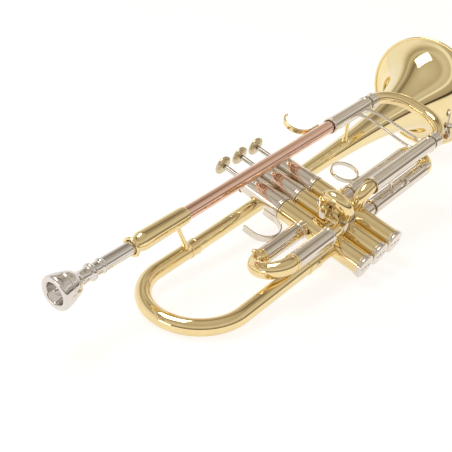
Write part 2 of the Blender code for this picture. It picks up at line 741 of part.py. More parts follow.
# Thumb saddle: nickel strip bent to a U, soldered on the upper sleeve.
saddle_x = -54.0
saddle_foot = SLIDE1_UPPER_Y + SLEEVE_RADIUS + GAP + STRIP_THICKNESS / 2.0
saddle_centre = Vector((saddle_x, saddle_foot, SLIDE1_UPPER_Z - 1.6))
saddle_centre += Y_AXIS * SADDLE_RADIUS
saddle_path = [saddle_centre - X_AXIS * SADDLE_RADIUS + Y_AXIS * 9.0]
saddle_path += arc(saddle_centre, -X_AXIS, -Y_AXIS, SADDLE_RADIUS, 0.0, 180.0, 14)
saddle_path.append(saddle_centre + X_AXIS * SADDLE_RADIUS + Y_AXIS * 11.0)
place(
    "slide1_saddle",
    strip_mesh(saddle_path, Z_AXIS, SADDLE_WIDTH, STRIP_THICKNESS),
    NICKEL,
    slide1_upper,
)

# Second slide: two short fixed sleeves on the right of the middle casing and a plain brass crook.
lean = math.radians(SLIDE2_LEAN)
slide2_axis = Vector((-math.sin(lean), 0.0, math.cos(lean)))
slide2_start = CASING_RADIUS - 4.0
for name, y in (("slide2_sleeve_upper", SLIDE2_UPPER_Y), ("slide2_sleeve_lower", SLIDE2_LOWER_Y)):
    profile = [
        (slide2_start, SLEEVE_RADIUS),
        (SLIDE2_SLEEVE, SLEEVE_RADIUS),
        (SLIDE2_SLEEVE, SLEEVE_BORE),
        (slide2_start, SLEEVE_BORE),
    ]
    sleeve = turned(name, profile, Vector((0.0, y, 0.0)), slide2_axis, NICKEL)
    boolean(sleeve, port_cutters[1])
slide2_upper = Vector((0.0, SLIDE2_UPPER_Y, 0.0)) + slide2_axis * (CASING_RADIUS + 2.0)
slide2_lower = Vector((0.0, SLIDE2_LOWER_Y, 0.0)) + slide2_axis * (CASING_RADIUS + 2.0)
slide2_bend = slide2_axis * (SLIDE2_SLEEVE + 3.0)
crook2_path = [slide2_upper]
crook2_path += arc(
    (Vector((0.0, SLIDE2_UPPER_Y, 0.0)) + Vector((0.0, SLIDE2_LOWER_Y, 0.0))) / 2.0 + slide2_bend,
    Y_AXIS,
    slide2_axis,
    SLIDE2_SPACING / 2.0,
    0.0,
    180.0,
    8,
)
crook2_path.append(slide2_lower)
crook2 = place(
    "slide2_crook",
    swept_mesh(crook2_path, [TUBE_RADIUS] * 11, [tube_bore] * 11),
    BRASS,
    Vector((0.0, SLIDE2_LOWER_Y, 0.0)),
)

pull_knob(
    crook2,
    Vector((0.0, SLIDE2_UPPER_Y - 0.6, 0.0)) + slide2_bend,
    (slide2_axis.cross(Y_AXIS) - Y_AXIS * 0.3).normalized(),
)

# Third slide: fixed inner legs, and outer sleeves that move forward with the crook and finger ring.
slide3_upper = Vector((0.0, SLIDE3_UPPER_Y, 0.0))
slide3_lower = Vector((0.0, SLIDE3_LOWER_Y, 0.0))
for name, axis_point in (("slide3_leg_upper", slide3_upper), ("slide3_leg_lower", slide3_lower)):
    leg3 = turned(
        name,
        pipe_profile(VALVE_PITCH, SLIDE3_END_X - 4.0, TUBE_RADIUS, tube_bore),
        axis_point,
        X_AXIS,
        NICKEL,
    )
    boolean(leg3, port_cutters[2])
slide_sleeve("slide3_sleeve_upper", SLIDE3_START_X, SLIDE3_END_X, slide3_upper, 1.0)
slide_sleeve("slide3_sleeve_lower", SLIDE3_START_X, SLIDE3_END_X, slide3_lower, 1.0)
crook3_base = X_AXIS * (SLIDE3_END_X + GAP)
place(
    "slide3_crook",
    crook_mesh(slide3_upper + crook3_base, slide3_lower + crook3_base, X_AXIS, 3.0),
    BRASS,
    slide3_upper,
)

# Finger ring: nickel strip closed into a ring, standing on a foot on the upper sleeve.
ring_centre = Vector((63.0, SLIDE3_UPPER_Y + SLEEVE_RADIUS + RING_RADIUS, 0.0))
ring_path = arc(ring_centre, X_AXIS, Y_AXIS, RING_RADIUS - 0.8, 0.0, 345.0, 23)
ring = place(
    "finger_ring",
    strip_mesh(ring_path, Z_AXIS, RING_WIDTH, 1.4, closed=True),
    NICKEL,
    slide3_upper,
)
foot_centre = ring_centre - Y_AXIS * (RING_RADIUS - 0.2)
ring_foot = cutter("join_ring_foot", box_mesh(foot_centre, Vector((11.0, 2.4, RING_WIDTH + 1.0))))
sleeve3_cut = rod_cutter(
    "cut_slide3_sleeve",
    slide3_upper + X_AXIS * SLIDE3_START_X,
    X_AXIS,
    SLIDE3_END_X - SLIDE3_START_X,
    SLEEVE_RADIUS + GAP,
)
boolean(ring, ring_foot, "UNION")
boolean(ring, sleeve3_cut)

# Stop rod: fixed to the lower tuning sleeve, with a nut at its end; a tab on the slide runs along it.
rod_axis = Vector((0.0, 33.5, 12.0))
rod_start = 62.0
rod_end = 126.0
rod_profile = [
    (rod_start, 0.0),
    (rod_start, 2.0),
    (rod_start + 4.0, 2.0),
    (rod_start + 4.0, 1.2),
    (rod_end - 5.0, 1.2),
    (rod_end - 5.0, 2.6),
    (rod_end, 2.6),
    (rod_end, 0.0),
]
stop_rod = turned("slide3_stop_rod", rod_profile, rod_axis, X_AXIS, NICKEL, 12, closed=False)
lower_cut = rod_cutter(
    "cut_main_sleeve",
    lower_axis + X_AXIS * LOWER_SLEEVE_START_X,
    X_AXIS,
    SLEEVE_END_X - LOWER_SLEEVE_START_X,
    SLEEVE_RADIUS + GAP,
)
rod_foot = rod_axis + X_AXIS * (rod_start + 2.0)
post_top = lower_axis + X_AXIS * (rod_start + 2.0)
post_axis = post_top - rod_foot
post_join = rod_cutter("join_rod_post", rod_foot, post_axis.normalized(), post_axis.length, 1.5)
boolean(stop_rod, post_join, "UNION")
boolean(stop_rod, lower_cut)

tab_profile = pipe_profile(0.0, 3.0, 3.2, 1.2 + GAP)
tab_x = 84.0
stop_tab = turned("slide3_stop_tab", tab_profile, rod_axis + X_AXIS * tab_x, X_AXIS, NICKEL, 12)
tab_middle = rod_axis + X_AXIS * (tab_x + 1.5)
tab_root = slide3_lower + X_AXIS * (tab_x + 1.5)
tab_axis = (tab_root - tab_middle).normalized()
tab_arm = rod_cutter("join_tab_arm", tab_middle + tab_axis * 2.2, tab_axis, 9.0, 1.4)
tab_cut = rod_cutter(
    "cut_tab",
    slide3_lower + X_AXIS * SLIDE3_START_X,
    X_AXIS,
    SLIDE3_END_X - SLIDE3_START_X,
    SLEEVE_RADIUS + GAP,
)
boolean(stop_tab, tab_arm, "UNION")
boolean(stop_tab, tab_cut)

# Bell: hammered brass, nearly straight through the stem and flaring to a rim rolled over a wire.
tilt = math.radians(BELL_TILT)
bell_axis = Vector((math.cos(tilt), math.sin(tilt), 0.0))
bell_base = Vector((BELL_START_X, BELL_Y, BELL_Z))
bell_length = (BELL_RIM_X - BELL_START_X) / math.cos(tilt)
flare = BELL_RIM_RADIUS - BELL_STEM_RADIUS


def bell_radius(from_rim):
    """Outer radius at a distance from the rim: a long throat and a fast lip."""
    throat = 0.73 * math.exp(-from_rim / 68.0)
    lip = 0.27 * math.exp(-from_rim / 9.0)
    return BELL_STEM_RADIUS + flare * (throat + lip)


bell_steps = 13
outside = []
inside = []
for step in range(bell_steps + 1):
    from_rim = bell_length * (1.0 - step / bell_steps) ** 2.2
    along = bell_length - from_rim
    outside.append((along, bell_radius(from_rim)))
    inside.append((along, bell_radius(from_rim) - BELL_WALL))
outside[-1] = (bell_length - 1.2, BELL_RIM_RADIUS)
rim = [(bell_length, BELL_RIM_RADIUS + 0.2), (bell_length + 0.4, BELL_RIM_RADIUS - 1.0)]
inside[-1] = (bell_length, BELL_RIM_RADIUS - 2.0)
turned("bell", outside + rim + inside[::-1], bell_base, bell_axis, BRASS, 26)

# Bell bow: brass tube from a ferrule on the bell's stem round to the first casing.
bow_top = Vector((0.0, BELL_Y, BELL_Z))
bow_rise = (bow_top - bow_tail).normalized()
bow_reach = (bow_top - bow_tail).length / 2.0
bow_middle = (bow_top + bow_tail) / 2.0 + X_AXIS * BOW_START_X
ferrule_radius = BOW_RADIUS + 0.6
bell_bow_path = [bow_top + X_AXIS * (BELL_START_X - GAP), bow_top + X_AXIS * (BELL_START_X - 10.0)]
bell_bow_path.append(bow_top + X_AXIS * (BELL_START_X - 10.4))
bow_arc = arc(bow_middle, bow_rise, -X_AXIS, bow_reach, 0.0, 180.0, 14)
for point in bow_arc:
    point.x = BOW_START_X + (point.x - BOW_START_X) * BOW_DEPTH
bell_bow_path += bow_arc
for x in (-64.4, -64.0, -49.0, -48.6, -VALVE_PITCH):
    bell_bow_path.append(bow_tail + X_AXIS * x)
bell_bow_outer = [ferrule_radius] * 2 + [BOW_RADIUS] * 17 + [ferrule_radius] * 2 + [BOW_RADIUS] * 2
bell_bow_inner = [BOW_RADIUS - TUBE_WALL - 0.2] * len(bell_bow_path)
bell_bow = place(
    "bell_bow",
    swept_mesh(bell_bow_path, bell_bow_outer, bell_bow_inner),
    BRASS,
    bow_top,
)
boolean(bell_bow, port_cutters[0])


# Posts: brass rods with spread feet that hold the bell to the receiver and to the upper sleeve.
def post(name, bell_x, pipe_x, bell_cut, pipe_cut):
    start = Vector((bell_x, BELL_Y + (bell_x - BELL_START_X) * math.tan(tilt), BELL_Z))
    stop = Vector((pipe_x, LEADPIPE_Y, LEADPIPE_Z))
    axis = (stop - start).normalized()
    length = (stop - start).length
    near = bell_radius((BELL_RIM_X - bell_x) / math.cos(tilt))
    profile = [
        (near - 3.0, 0.0),
        (near - 3.0, 4.6),
        (near + 1.6, 4.0),
        (near + 4.0, 1.8),
        (length - SLEEVE_RADIUS - 5.0, 1.8),
        (length - SLEEVE_RADIUS - 2.4, 3.6),
        (length - SLEEVE_RADIUS + 2.0, 4.2),
        (length - SLEEVE_RADIUS + 2.0, 0.0),
    ]
    piece = turned(name, profile, start, axis, BRASS, 12, closed=False)
    boolean(piece, bell_cut)
    boolean(piece, pipe_cut)


throat_profile = [(0.0, 0.0)]
for along, radius in outside[:-2]:
    throat_profile.append((along, radius + GAP))
throat_profile.append((throat_profile[-1][0], 0.0))
bell_cut = cutter("cut_bell", turned_mesh(throat_profile, bell_base, bell_axis, 26, False))
receiver_cut = rod_cutter(
    "cut_receiver",
    receiver_base,
    X_AXIS,
    RECEIVER_LENGTH,
    RECEIVER_RADIUS + 0.3 + GAP,
)
upper_sleeve_cut = rod_cutter(
    "cut_upper_sleeve",
    leadpipe_axis + X_AXIS * SLEEVE_START_X,
    X_AXIS,
    SLEEVE_END_X - SLEEVE_START_X,
    SLEEVE_RADIUS + GAP,
)
ferrule_cut = rod_cutter(
    "cut_ferrule",
    bow_top + X_AXIS * (BELL_START_X - 24.0),
    X_AXIS,
    48.0,
    ferrule_radius + GAP,
)
post("post_receiver", BELL_START_X - 4.6, RECEIVER_MOUTH_X + 41.8, ferrule_cut, receiver_cut)
post("post_sleeve", 130.3, 104.5, bell_cut, upper_sleeve_cut)

# Little-finger hook: brass strip with its foot on the leadpipe, curling up and forward.
hook_foot = LEADPIPE_Y + LEADPIPE_RADIUS + STRIP_THICKNESS / 2.0 - 0.6
hook_x = 56.0
hook_centre = Vector((hook_x, hook_foot + HOOK_RADIUS, LEADPIPE_Z))
hook_path = [Vector((hook_x + 10.0, hook_foot, LEADPIPE_Z)), Vector((hook_x + 5.0, hook_foot, LEADPIPE_Z))]
hook_path += arc(hook_centre, -Y_AXIS, -X_AXIS, HOOK_RADIUS, 0.0, 178.0, 13)
hook = place(
    "pinky_hook",
    strip_mesh(hook_path, Z_AXIS, HOOK_WIDTH, STRIP_THICKNESS + 0.6),
    BRASS,
    leadpipe_axis,
)
leadpipe_cut = rod_cutter(
    "cut_leadpipe",
    leadpipe_axis + X_AXIS * leadpipe_start,
    X_AXIS,
    leadpipe_end - leadpipe_start,
    LEADPIPE_RADIUS + GAP,
)
boolean(hook, leadpipe_cut)


def resting_turn():
    """Rotation that lays the instrument on the facet of its hull that holds it up on its left side."""
    hull = bmesh.new()
    balance = Vector((0.0, 0.0, 0.0))
    weight = 0.0
    bpy.context.view_layer.update()
    for thing in bpy.data.objects:
        if thing.type != "MESH" or thing.hide_render:
            continue
        piece = bmesh.new()
        piece.from_mesh(thing.data)
        piece.transform(thing.matrix_world)
        volume = abs(piece.calc_volume())
        middle = sum((vert.co for vert in piece.verts), Vector()) / len(piece.verts)
        balance += middle * volume
        weight += volume
        for vert in piece.verts:
            hull.verts.new(vert.co)
        piece.free()
    balance /= weight
    result = bmesh.ops.convex_hull(hull, input=hull.verts)
    inside_verts = [item for item in result["geom_interior"] if isinstance(item, bmesh.types.BMVert)]
    bmesh.ops.delete(hull, geom=inside_verts, context="VERTS")
    bmesh.ops.recalc_face_normals(hull, faces=hull.faces)
    best = None
    for face in hull.faces:
        if face.normal.z > -0.3:
            continue
        reach = (face.verts[0].co - balance).dot(face.normal)
        foot = balance + face.normal * reach
        margins = []
        corners = [vert.co for vert in face.verts]
        for first, second in zip(corners, corners[1:] + corners[:1]):
            edge = (second - first).normalized()
            margins.append(edge.cross(foot - first).dot(face.normal))
        margin = min(margins)
        score = min(margin, 1.0) - 2.0 * face.normal.z
        if margin < 0.0:
            score = margin
        if best is None or score > best[0]:
            best = (score, face.normal.copy())
    hull.free()
    up = -best[1]
    ahead = (X_AXIS - up * X_AXIS.dot(up)).normalized()
    side = up.cross(ahead)
    return Matrix((ahead, side, up)).to_4x4()


def lay_down():
    """Set the instrument on the table with the middle of its footprint box over the origin."""
    turn = resting_turn()
    lows = [math.inf] * 3
    highs = [-math.inf] * 3
    for thing in bpy.data.objects:
        if thing.type != "MESH" or thing.hide_render:
            continue
        for vert in thing.data.vertices:
            point = turn @ (thing.matrix_world @ vert.co)
            for axis in range(3):
                lows[axis] = min(lows[axis], point[axis])
                highs[axis] = max(highs[axis], point[axis])
    shift = Vector((-(lows[0] + highs[0]) / 2.0, -(lows[1] + highs[1]) / 2.0, -lows[2]))
    instrument.matrix_world = Matrix.Translation(shift) @ turn


lay_down()
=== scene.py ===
"""Looks of a B flat trumpet that lies on its left side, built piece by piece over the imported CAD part.

Places come from the CAD part and sizes are in millimetres in the trumpet's own frame: +X runs ahead
to the bell, +Y up the valves to the buttons and +Z to the player's right.
"""

import json
import math

import bmesh
import bpy
from mathutils import Matrix, Vector

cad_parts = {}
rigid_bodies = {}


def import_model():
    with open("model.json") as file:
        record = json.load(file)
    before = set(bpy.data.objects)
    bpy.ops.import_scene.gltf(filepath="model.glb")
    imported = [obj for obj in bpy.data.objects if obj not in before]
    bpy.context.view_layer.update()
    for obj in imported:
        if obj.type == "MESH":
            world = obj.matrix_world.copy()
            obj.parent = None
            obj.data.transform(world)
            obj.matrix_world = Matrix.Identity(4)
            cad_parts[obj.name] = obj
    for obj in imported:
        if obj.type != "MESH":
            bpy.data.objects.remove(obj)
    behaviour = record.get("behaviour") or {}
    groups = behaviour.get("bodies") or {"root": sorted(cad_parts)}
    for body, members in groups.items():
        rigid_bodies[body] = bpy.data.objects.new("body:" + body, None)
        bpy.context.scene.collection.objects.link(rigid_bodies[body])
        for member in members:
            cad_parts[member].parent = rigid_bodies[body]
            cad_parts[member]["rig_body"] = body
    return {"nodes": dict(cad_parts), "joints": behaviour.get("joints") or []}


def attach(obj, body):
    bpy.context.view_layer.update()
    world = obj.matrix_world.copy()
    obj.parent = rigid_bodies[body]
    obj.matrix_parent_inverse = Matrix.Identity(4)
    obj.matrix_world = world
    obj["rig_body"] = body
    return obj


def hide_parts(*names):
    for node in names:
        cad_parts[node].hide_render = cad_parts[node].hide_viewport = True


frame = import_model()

# The trumpet's own frame. The slide for the mouthpiece gives the way ahead, the middle valve the way
# up, and the face of the middle valve's bottom cap the zero point.
MM = 0.001
X = Vector((1.0, 0.0, 0.0))
Y = Vector((0.0, 1.0, 0.0))
Z = Vector((0.0, 0.0, 1.0))
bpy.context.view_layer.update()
axes = {joint["name"]: Vector(joint["axis"]).normalized() for joint in frame["joints"]}
ahead = -axes["mouthpiece_pull"]
upward = -axes["valve_2_press"]
turn = Matrix((ahead, upward, ahead.cross(upward))).transposed().to_4x4()


def points_of(node, into):
    return [into @ vert.co for vert in frame["nodes"][node].data.vertices]


def corners(points):
    low = Vector([min(point[axis] for point in points) for axis in range(3)])
    high = Vector([max(point[axis] for point in points) for axis in range(3)])
    return low, high


foot_low, foot_high = corners(points_of("bottom_cap_2", turn.inverted()))
zero = (foot_low + foot_high) / 2.0
zero.y = foot_low.y
to_world = turn @ Matrix.Translation(zero) @ Matrix.Scale(MM, 4)
to_trumpet = to_world.inverted()


def spans(node):
    """Lowest and highest corner of a CAD node along the trumpet's axes, in millimetres."""
    return corners(points_of(node, to_trumpet))


def ends(node, along):
    """Middles of a CAD node's two end faces along a direction."""
    points = points_of(node, to_trumpet)
    reaches = [point.dot(along) for point in points]
    found = []
    for limit in (min(reaches), max(reaches)):
        face = [point for point, reach in zip(points, reaches) if abs(reach - limit) < 0.3]
        found.append(sum(face, Vector()) / len(face))
    return found


# Mouthpiece: one piece turned from brass bar and silver plated, with a cup, a backbore, two turned
# beads and a tapered shank that wedges in the receiver.
def linear(code):
    """sRGB hex colour as a linear colour with alpha."""
    shades = [int(code[place : place + 2], 16) / 255.0 for place in (1, 3, 5)]
    curved = [shade / 12.92 if shade <= 0.04045 else ((shade + 0.055) / 1.055) ** 2.4 for shade in shades]
    return curved + [1.0]


def add(tree, kind, sockets=None, **settings):
    """Add a node; `sockets` holds values, or outputs to link, by socket name or number."""
    node = tree.nodes.new(kind)
    for name, value in settings.items():
        setattr(node, name, value)
    for name, value in (sockets or {}).items():
        if isinstance(value, bpy.types.NodeSocket):
            tree.links.new(value, node.inputs[name])
        else:
            node.inputs[name].default_value = value
    return node


def per_mm(size):
    """Texture scale that gives a pattern this many millimetres across."""
    return 1.0 / (size * MM)


def buffed_metal(name, slot, bright, dull, gloss, cloud_mm=9.0, ripple_mm=7.0, ripple_depth=0.005):
    """Metal buffed to a mirror: faint clouds of tone, hair-fine buffing marks and a slow ripple."""
    material = bpy.data.materials.new(name)
    material.use_nodes = True
    material["slot"] = slot
    tree = material.node_tree
    shader = tree.nodes["Principled BSDF"]
    shader.inputs["Metallic"].default_value = 1.0
    spot = add(tree, "ShaderNodeTexCoord").outputs["Object"]
    cloud = add(tree, "ShaderNodeTexNoise", {"Vector": spot, "Scale": per_mm(cloud_mm), "Detail": 3.0})
    tones = {0: cloud.outputs["Fac"], 6: linear(bright), 7: linear(dull)}
    tone = add(tree, "ShaderNodeMix", tones, data_type="RGBA")
    tree.links.new(tone.outputs[2], shader.inputs["Base Color"])
    marks = add(tree, "ShaderNodeTexNoise", {"Vector": spot, "Scale": per_mm(0.6), "Detail": 4.0})
    spread = {"Value": marks.outputs["Fac"], "To Min": gloss * 0.6, "To Max": gloss * 1.5}
    rough = add(tree, "ShaderNodeMapRange", spread)
    tree.links.new(rough.outputs["Result"], shader.inputs["Roughness"])
    ripple = add(tree, "ShaderNodeTexNoise", {"Vector": spot, "Scale": per_mm(ripple_mm), "Detail": 1.0})
    bump = add(tree, "ShaderNodeBump", {"Height": ripple.outputs["Fac"], "Distance": ripple_depth * MM})
    tree.links.new(bump.outputs["Normal"], shader.inputs["Normal"])
    return material


def lacquered(material):
    """Clear sprayed lacquer over the metal: a thin glossy coat that whitens the edges."""
    shader = material.node_tree.nodes["Principled BSDF"]
    shader.inputs["Coat Weight"].default_value = 0.3
    shader.inputs["Coat Roughness"].default_value = 0.03
    return material


def eased(profile, ease=0.25, steps=4):
    """Round the corners of a closed outline; a corner's third number is its own setback."""
    rounded = []
    for index, corner in enumerate(profile):
        here = Vector(corner[:2])
        setback = corner[2] if len(corner) > 2 else ease
        before = Vector(profile[index - 1][:2]) - here
        after = Vector(profile[(index + 1) % len(profile)][:2]) - here
        if setback == 0.0 or before.angle(after, math.pi) > math.radians(176.0):
            rounded.append(here)
            continue
        start = here + before.normalized() * min(setback, before.length * 0.49)
        stop = here + after.normalized() * min(setback, after.length * 0.49)
        for step in range(steps + 1):
            share = step / steps
            rounded.append(start.lerp(here, share).lerp(here.lerp(stop, share), share))
    return rounded


def square_to(axis):
    """Two unit vectors square to `axis` and to each other."""
    helper = Y if abs(axis.dot(Y)) < 0.9 else Z
    across = axis.cross(helper).normalized()
    return across, axis.cross(across).normalized()


def circle(centre, across, up, radius, sides):
    ring = []
    for side in range(sides):
        angle = 2.0 * math.pi * side / sides
        ring.append(centre + across * (radius * math.cos(angle)) + up * (radius * math.sin(angle)))
    return ring


def skin(bm, rings, closed=False):
    """Join rings of points into one surface; a one-point ring is a pole, other ends get a cap."""
    rows = [[bm.verts.new(point) for point in ring] for ring in rings]
    pairs = list(zip(rows, rows[1:]))
    if closed:
        pairs.append((rows[-1], rows[0]))
    for first, second in pairs:
        count = max(len(first), len(second))
        for side in range(count):
            after = (side + 1) % count
            if len(first) == 1:
                bm.faces.new((first[0], second[side], second[after]))
            elif len(second) == 1:
                bm.faces.new((first[side], first[after], second[0]))
            else:
                bm.faces.new((first[side], first[after], second[after], second[side]))
    if not closed:
        for row in (rows[0], rows[-1]):
            if len(row) > 1:
                bm.faces.new(row)


def turned(bm, profile, base, axis, sides=72, ease=0.25):
    """Turn a closed outline of (distance along the axis, radius) corners about the axis."""
    across, up = square_to(axis)
    rings = []
    for along, radius in eased(profile, ease):
        centre = base + axis * along
        rings.append([centre] if radius < 1e-4 else circle(centre, across, up, radius, sides))
    closed = len(rings[0]) > 1
    skin(bm, rings, closed)


def fit(name, bm, finish, *nodes, body=None):
    """Make the object, set it on its CAD body and let it stand for its CAD nodes."""
    bmesh.ops.recalc_face_normals(bm, faces=bm.faces)
    bm.transform(to_world)
    mesh = bpy.data.meshes.new(name)
    bm.to_mesh(mesh)
    bm.free()
    mesh.materials.append(finish)
    mesh.shade_smooth()
    mesh.set_sharp_from_angle(angle=math.radians(38.0))
    piece = bpy.data.objects.new(name, mesh)
    bpy.context.scene.collection.objects.link(piece)
    weighted = piece.modifiers.new("even shading", "WEIGHTED_NORMAL")
    weighted.keep_sharp = True
    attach(piece, body or frame["nodes"][nodes[0]]["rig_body"])
    if nodes:
        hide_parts(*nodes)
    return piece


# Silver, plated on brass and buffed: the whitest mirror of the instrument, faintly clouded.
silver_plate = buffed_metal("buffed_silver_plate", "silver_plate", "#E3DFDC", "#D3CECA", 0.05)
rim_face, shank_end = ends("mouthpiece", X)
shank_length = shank_end.x - rim_face.x
mouthpiece_outline = [(0.0, 10.4, 0.9), (0.0, 12.3, 1.0), (1.4, 13.45, 0.9), (3.6, 13.4, 0.9)]
mouthpiece_outline += [(8.4, 12.6, 0.4), (8.9, 11.5, 0.3), (9.5, 11.3, 0.3), (9.8, 11.8, 0.3)]
mouthpiece_outline += [(10.6, 11.8, 0.3), (11.0, 11.2, 0.3), (14.6, 10.6, 1.0), (17.6, 9.4, 0.8)]
mouthpiece_outline += [(20.4, 6.6, 1.4), (23.6, 5.6, 1.6), (26.6, 5.1, 1.0), (30.2, 5.2, 0.4)]
mouthpiece_outline += [(30.8, 6.3, 0.4), (31.8, 6.9, 0.5), (33.2, 6.9, 0.5), (34.2, 6.1, 0.4)]
mouthpiece_outline += [(35.4, 5.2, 0.6), (40.2, 5.05, 0.5), (41.2, 5.9, 0.4), (42.0, 6.15, 0.4)]
mouthpiece_outline += [(43.0, 6.0, 0.3), (44.0, 5.4, 0.5), (71.0, 5.2, 0.0), (shank_length, 4.8, 0.2)]
mouthpiece_outline += [(shank_length, 4.1, 0.2), (20.0, 1.9, 2.0), (13.0, 1.9, 1.0), (10.8, 3.6, 1.6)]
mouthpiece_outline += [(7.4, 6.4, 2.4), (3.4, 8.0, 1.6), (0.9, 8.5, 0.8), (0.0, 9.3, 0.5)]
mouthpiece = bmesh.new()
turned(mouthpiece, mouthpiece_outline, rim_face, X, 96)
fit("mouthpiece_silver", mouthpiece, silver_plate, "mouthpiece")

# Receiver: yellow brass socket, drawn and turned, with a heavy ring at its mouth, soldered on the
# leadpipe. Its maker's engraving is left plain.
LEADPIPE_SOCKET = 6.0
SHANK_SOCKET = 5.5
SOCKET_DEPTH = 24.0
# Yellow brass, buffed and sprayed with clear lacquer: a pale gold mirror with white edges.
buffed_yellow = buffed_metal("lacquered_yellow_brass", "lacquered_brass", "#EFDCAD", "#E5CD94", 0.05)
yellow_brass = lacquered(buffed_yellow)
mouth, receiver_tail = ends("receiver", X)
receiver_length = receiver_tail.x - mouth.x
receiver_outline = [(0.0, 6.3, 0.5), (0.0, 7.5, 0.6), (1.0, 8.1, 0.7), (2.1, 7.9, 0.6)]
receiver_outline += [(2.7, 6.6, 0.5), (4.0, 6.15, 0.8), (7.0, 6.2, 0.9), (10.6, 7.35, 1.0)]
receiver_outline += [(12.6, 7.5, 1.5), (18.0, 7.4, 2.0), (receiver_length - 6.0, 7.1, 1.0)]
receiver_outline += [(receiver_length - 0.8, 6.8, 0.4), (receiver_length, 6.4, 0.3)]
receiver_outline += [(receiver_length, LEADPIPE_SOCKET, 0.1), (SOCKET_DEPTH, LEADPIPE_SOCKET, 0.0)]
receiver_outline += [(SOCKET_DEPTH, SHANK_SOCKET, 0.0), (1.0, SHANK_SOCKET, 0.3)]
receiver = bmesh.new()
turned(receiver, receiver_outline, mouth, X)
fit("receiver_brass", receiver, yellow_brass, "receiver")

# Leadpipe: seamless rose brass tube, drawn to its taper and lacquered. It runs from the receiver
# into the tuning slide's upper sleeve.
LEADPIPE_RADIUS = 5.7
TUBE_WALL = 0.6
# Rose brass has more copper, so its mirror is pink; buffed and lacquered like the yellow.
buffed_rose = buffed_metal("lacquered_rose_brass", "lacquered_rose_brass", "#F2CDBB", "#EABFAA", 0.05)
rose_brass = lacquered(buffed_rose)


def pipe(bm, start, stop, radius, bore, sides=64, ring=0.0, tail_ring=0.0):
    """Straight tube with a turned ring at either end that asks for one."""
    axis = (stop - start).normalized()
    length = (stop - start).length
    outline = [(0.0, radius, 0.15)]
    if ring:
        outline = [(0.0, radius + ring, 0.25), (1.7, radius + ring, 0.3), (2.1, radius, 0.25)]
        outline += [(2.6, radius - 0.12, 0.1), (2.9, radius - 0.12, 0.1), (3.1, radius, 0.1)]
    if tail_ring:
        outline += [(length - 3.5, radius, 0.1), (length - 3.3, radius - 0.12, 0.1)]
        outline += [(length - 3.0, radius - 0.12, 0.1), (length - 2.5, radius, 0.25)]
        outline += [(length - 2.0, radius + tail_ring, 0.3), (length, radius + tail_ring, 0.25)]
    else:
        outline.append((length, radius, 0.15))
    outline += [(length, bore, 0.1), (0.0, bore, 0.1)]
    turned(bm, outline, start, axis, sides)


leadpipe = bmesh.new()
pipe(leadpipe, *ends("leadpipe", X), LEADPIPE_RADIUS, LEADPIPE_RADIUS - TUBE_WALL)
fit("leadpipe_rose", leadpipe, rose_brass, "leadpipe")

# Main tuning slide sleeves and legs: nickel silver tubes, with a ring at each sleeve's end where the
# thinner leg slides out, and a wider socket on each leg for the bow.
LEG_RADIUS = 6.0
SLEEVE_BORE = 6.3
SLEEVE_RADIUS = 7.0
# Nickel silver, drawn and buffed bare: a grey white mirror, warmer than the plate.
nickel = buffed_metal("buffed_nickel_silver", "nickel_silver", "#E4DCD1", "#D8CFC3", 0.05)
for side in ("upper", "lower"):
    sleeve = bmesh.new()
    pipe(sleeve, *ends("main_sleeve_" + side, X), SLEEVE_RADIUS, SLEEVE_BORE, ring=0.5, tail_ring=0.7)
    fit("main_sleeve_%s_nickel" % side, sleeve, nickel, "main_sleeve_" + side)
    leg_start, leg_stop = ends("main_leg_" + side, X)
    socket = leg_stop - X * 9.7
    leg = bmesh.new()
    pipe(leg, leg_start, socket + X * 0.5, LEG_RADIUS, LEG_RADIUS - TUBE_WALL)
    pipe(leg, socket, leg_stop, SLEEVE_RADIUS, SLEEVE_BORE, tail_ring=0.3)
    fit("main_leg_%s_nickel" % side, leg, nickel, "main_leg_" + side)

# Tuning bow: yellow brass tube, bent round two corners while filled with pitch, and soldered in the
# legs' sockets. The knuckle turns the lower sleeve's air into the third valve.
BOW_CORNER = 30.0


def arc(centre, first, second, radius, start, stop, steps):
    """Points on an arc, with angles in degrees from `first` towards `second`."""
    points = []
    for step in range(steps + 1):
        angle = math.radians(start + (stop - start) * step / steps)
        points.append(centre + first * (radius * math.cos(angle)) + second * (radius * math.sin(angle)))
    return points


def seated(ring, heading, root, axis, reach):
    """Slide a ring's points along `heading` until they lie on a round tube of radius `reach`."""
    step = heading - axis * heading.dot(axis)
    moved = []
    for point in ring:
        offset = point - root
        offset -= axis * offset.dot(axis)
        square = step.dot(step)
        half = offset.dot(step)
        rest = max(half * half - square * (offset.dot(offset) - reach * reach), 0.0)
        moved.append(point + heading * ((-half - math.sqrt(rest)) / square))
    return moved


def frames_along(path):
    """Unit vectors across and up at each point of a path, carried along without twist."""
    tangents = []
    for index in range(len(path)):
        tangents.append((path[min(index + 1, len(path) - 1)] - path[max(index - 1, 0)]).normalized())
    across, _ = square_to(tangents[0])
    found = []
    for tangent in tangents:
        across = (across - tangent * across.dot(tangent)).normalized()
        found.append((across, tangent.cross(across).normalized()))
    return found


def bent_tube(bm, path, radius, wall=TUBE_WALL, sides=64, tail=None):
    """Tube along a path, with its bore; `tail` is the (root, axis, reach) of a tube that it meets."""
    turns = frames_along(path)
    rings = []
    for bore, rows in ((0.0, list(zip(path, turns))), (wall, list(zip(path, turns))[::-1])):
        for point, (across, up) in rows:
            rings.append(circle(point, across, up, radius - bore, sides))
    if tail:
        heading = (path[-1] - path[-2]).normalized()
        count = len(path)
        for index in (count - 1, count):
            rings[index] = seated(rings[index], heading, *tail)
    skin(bm, rings, True)


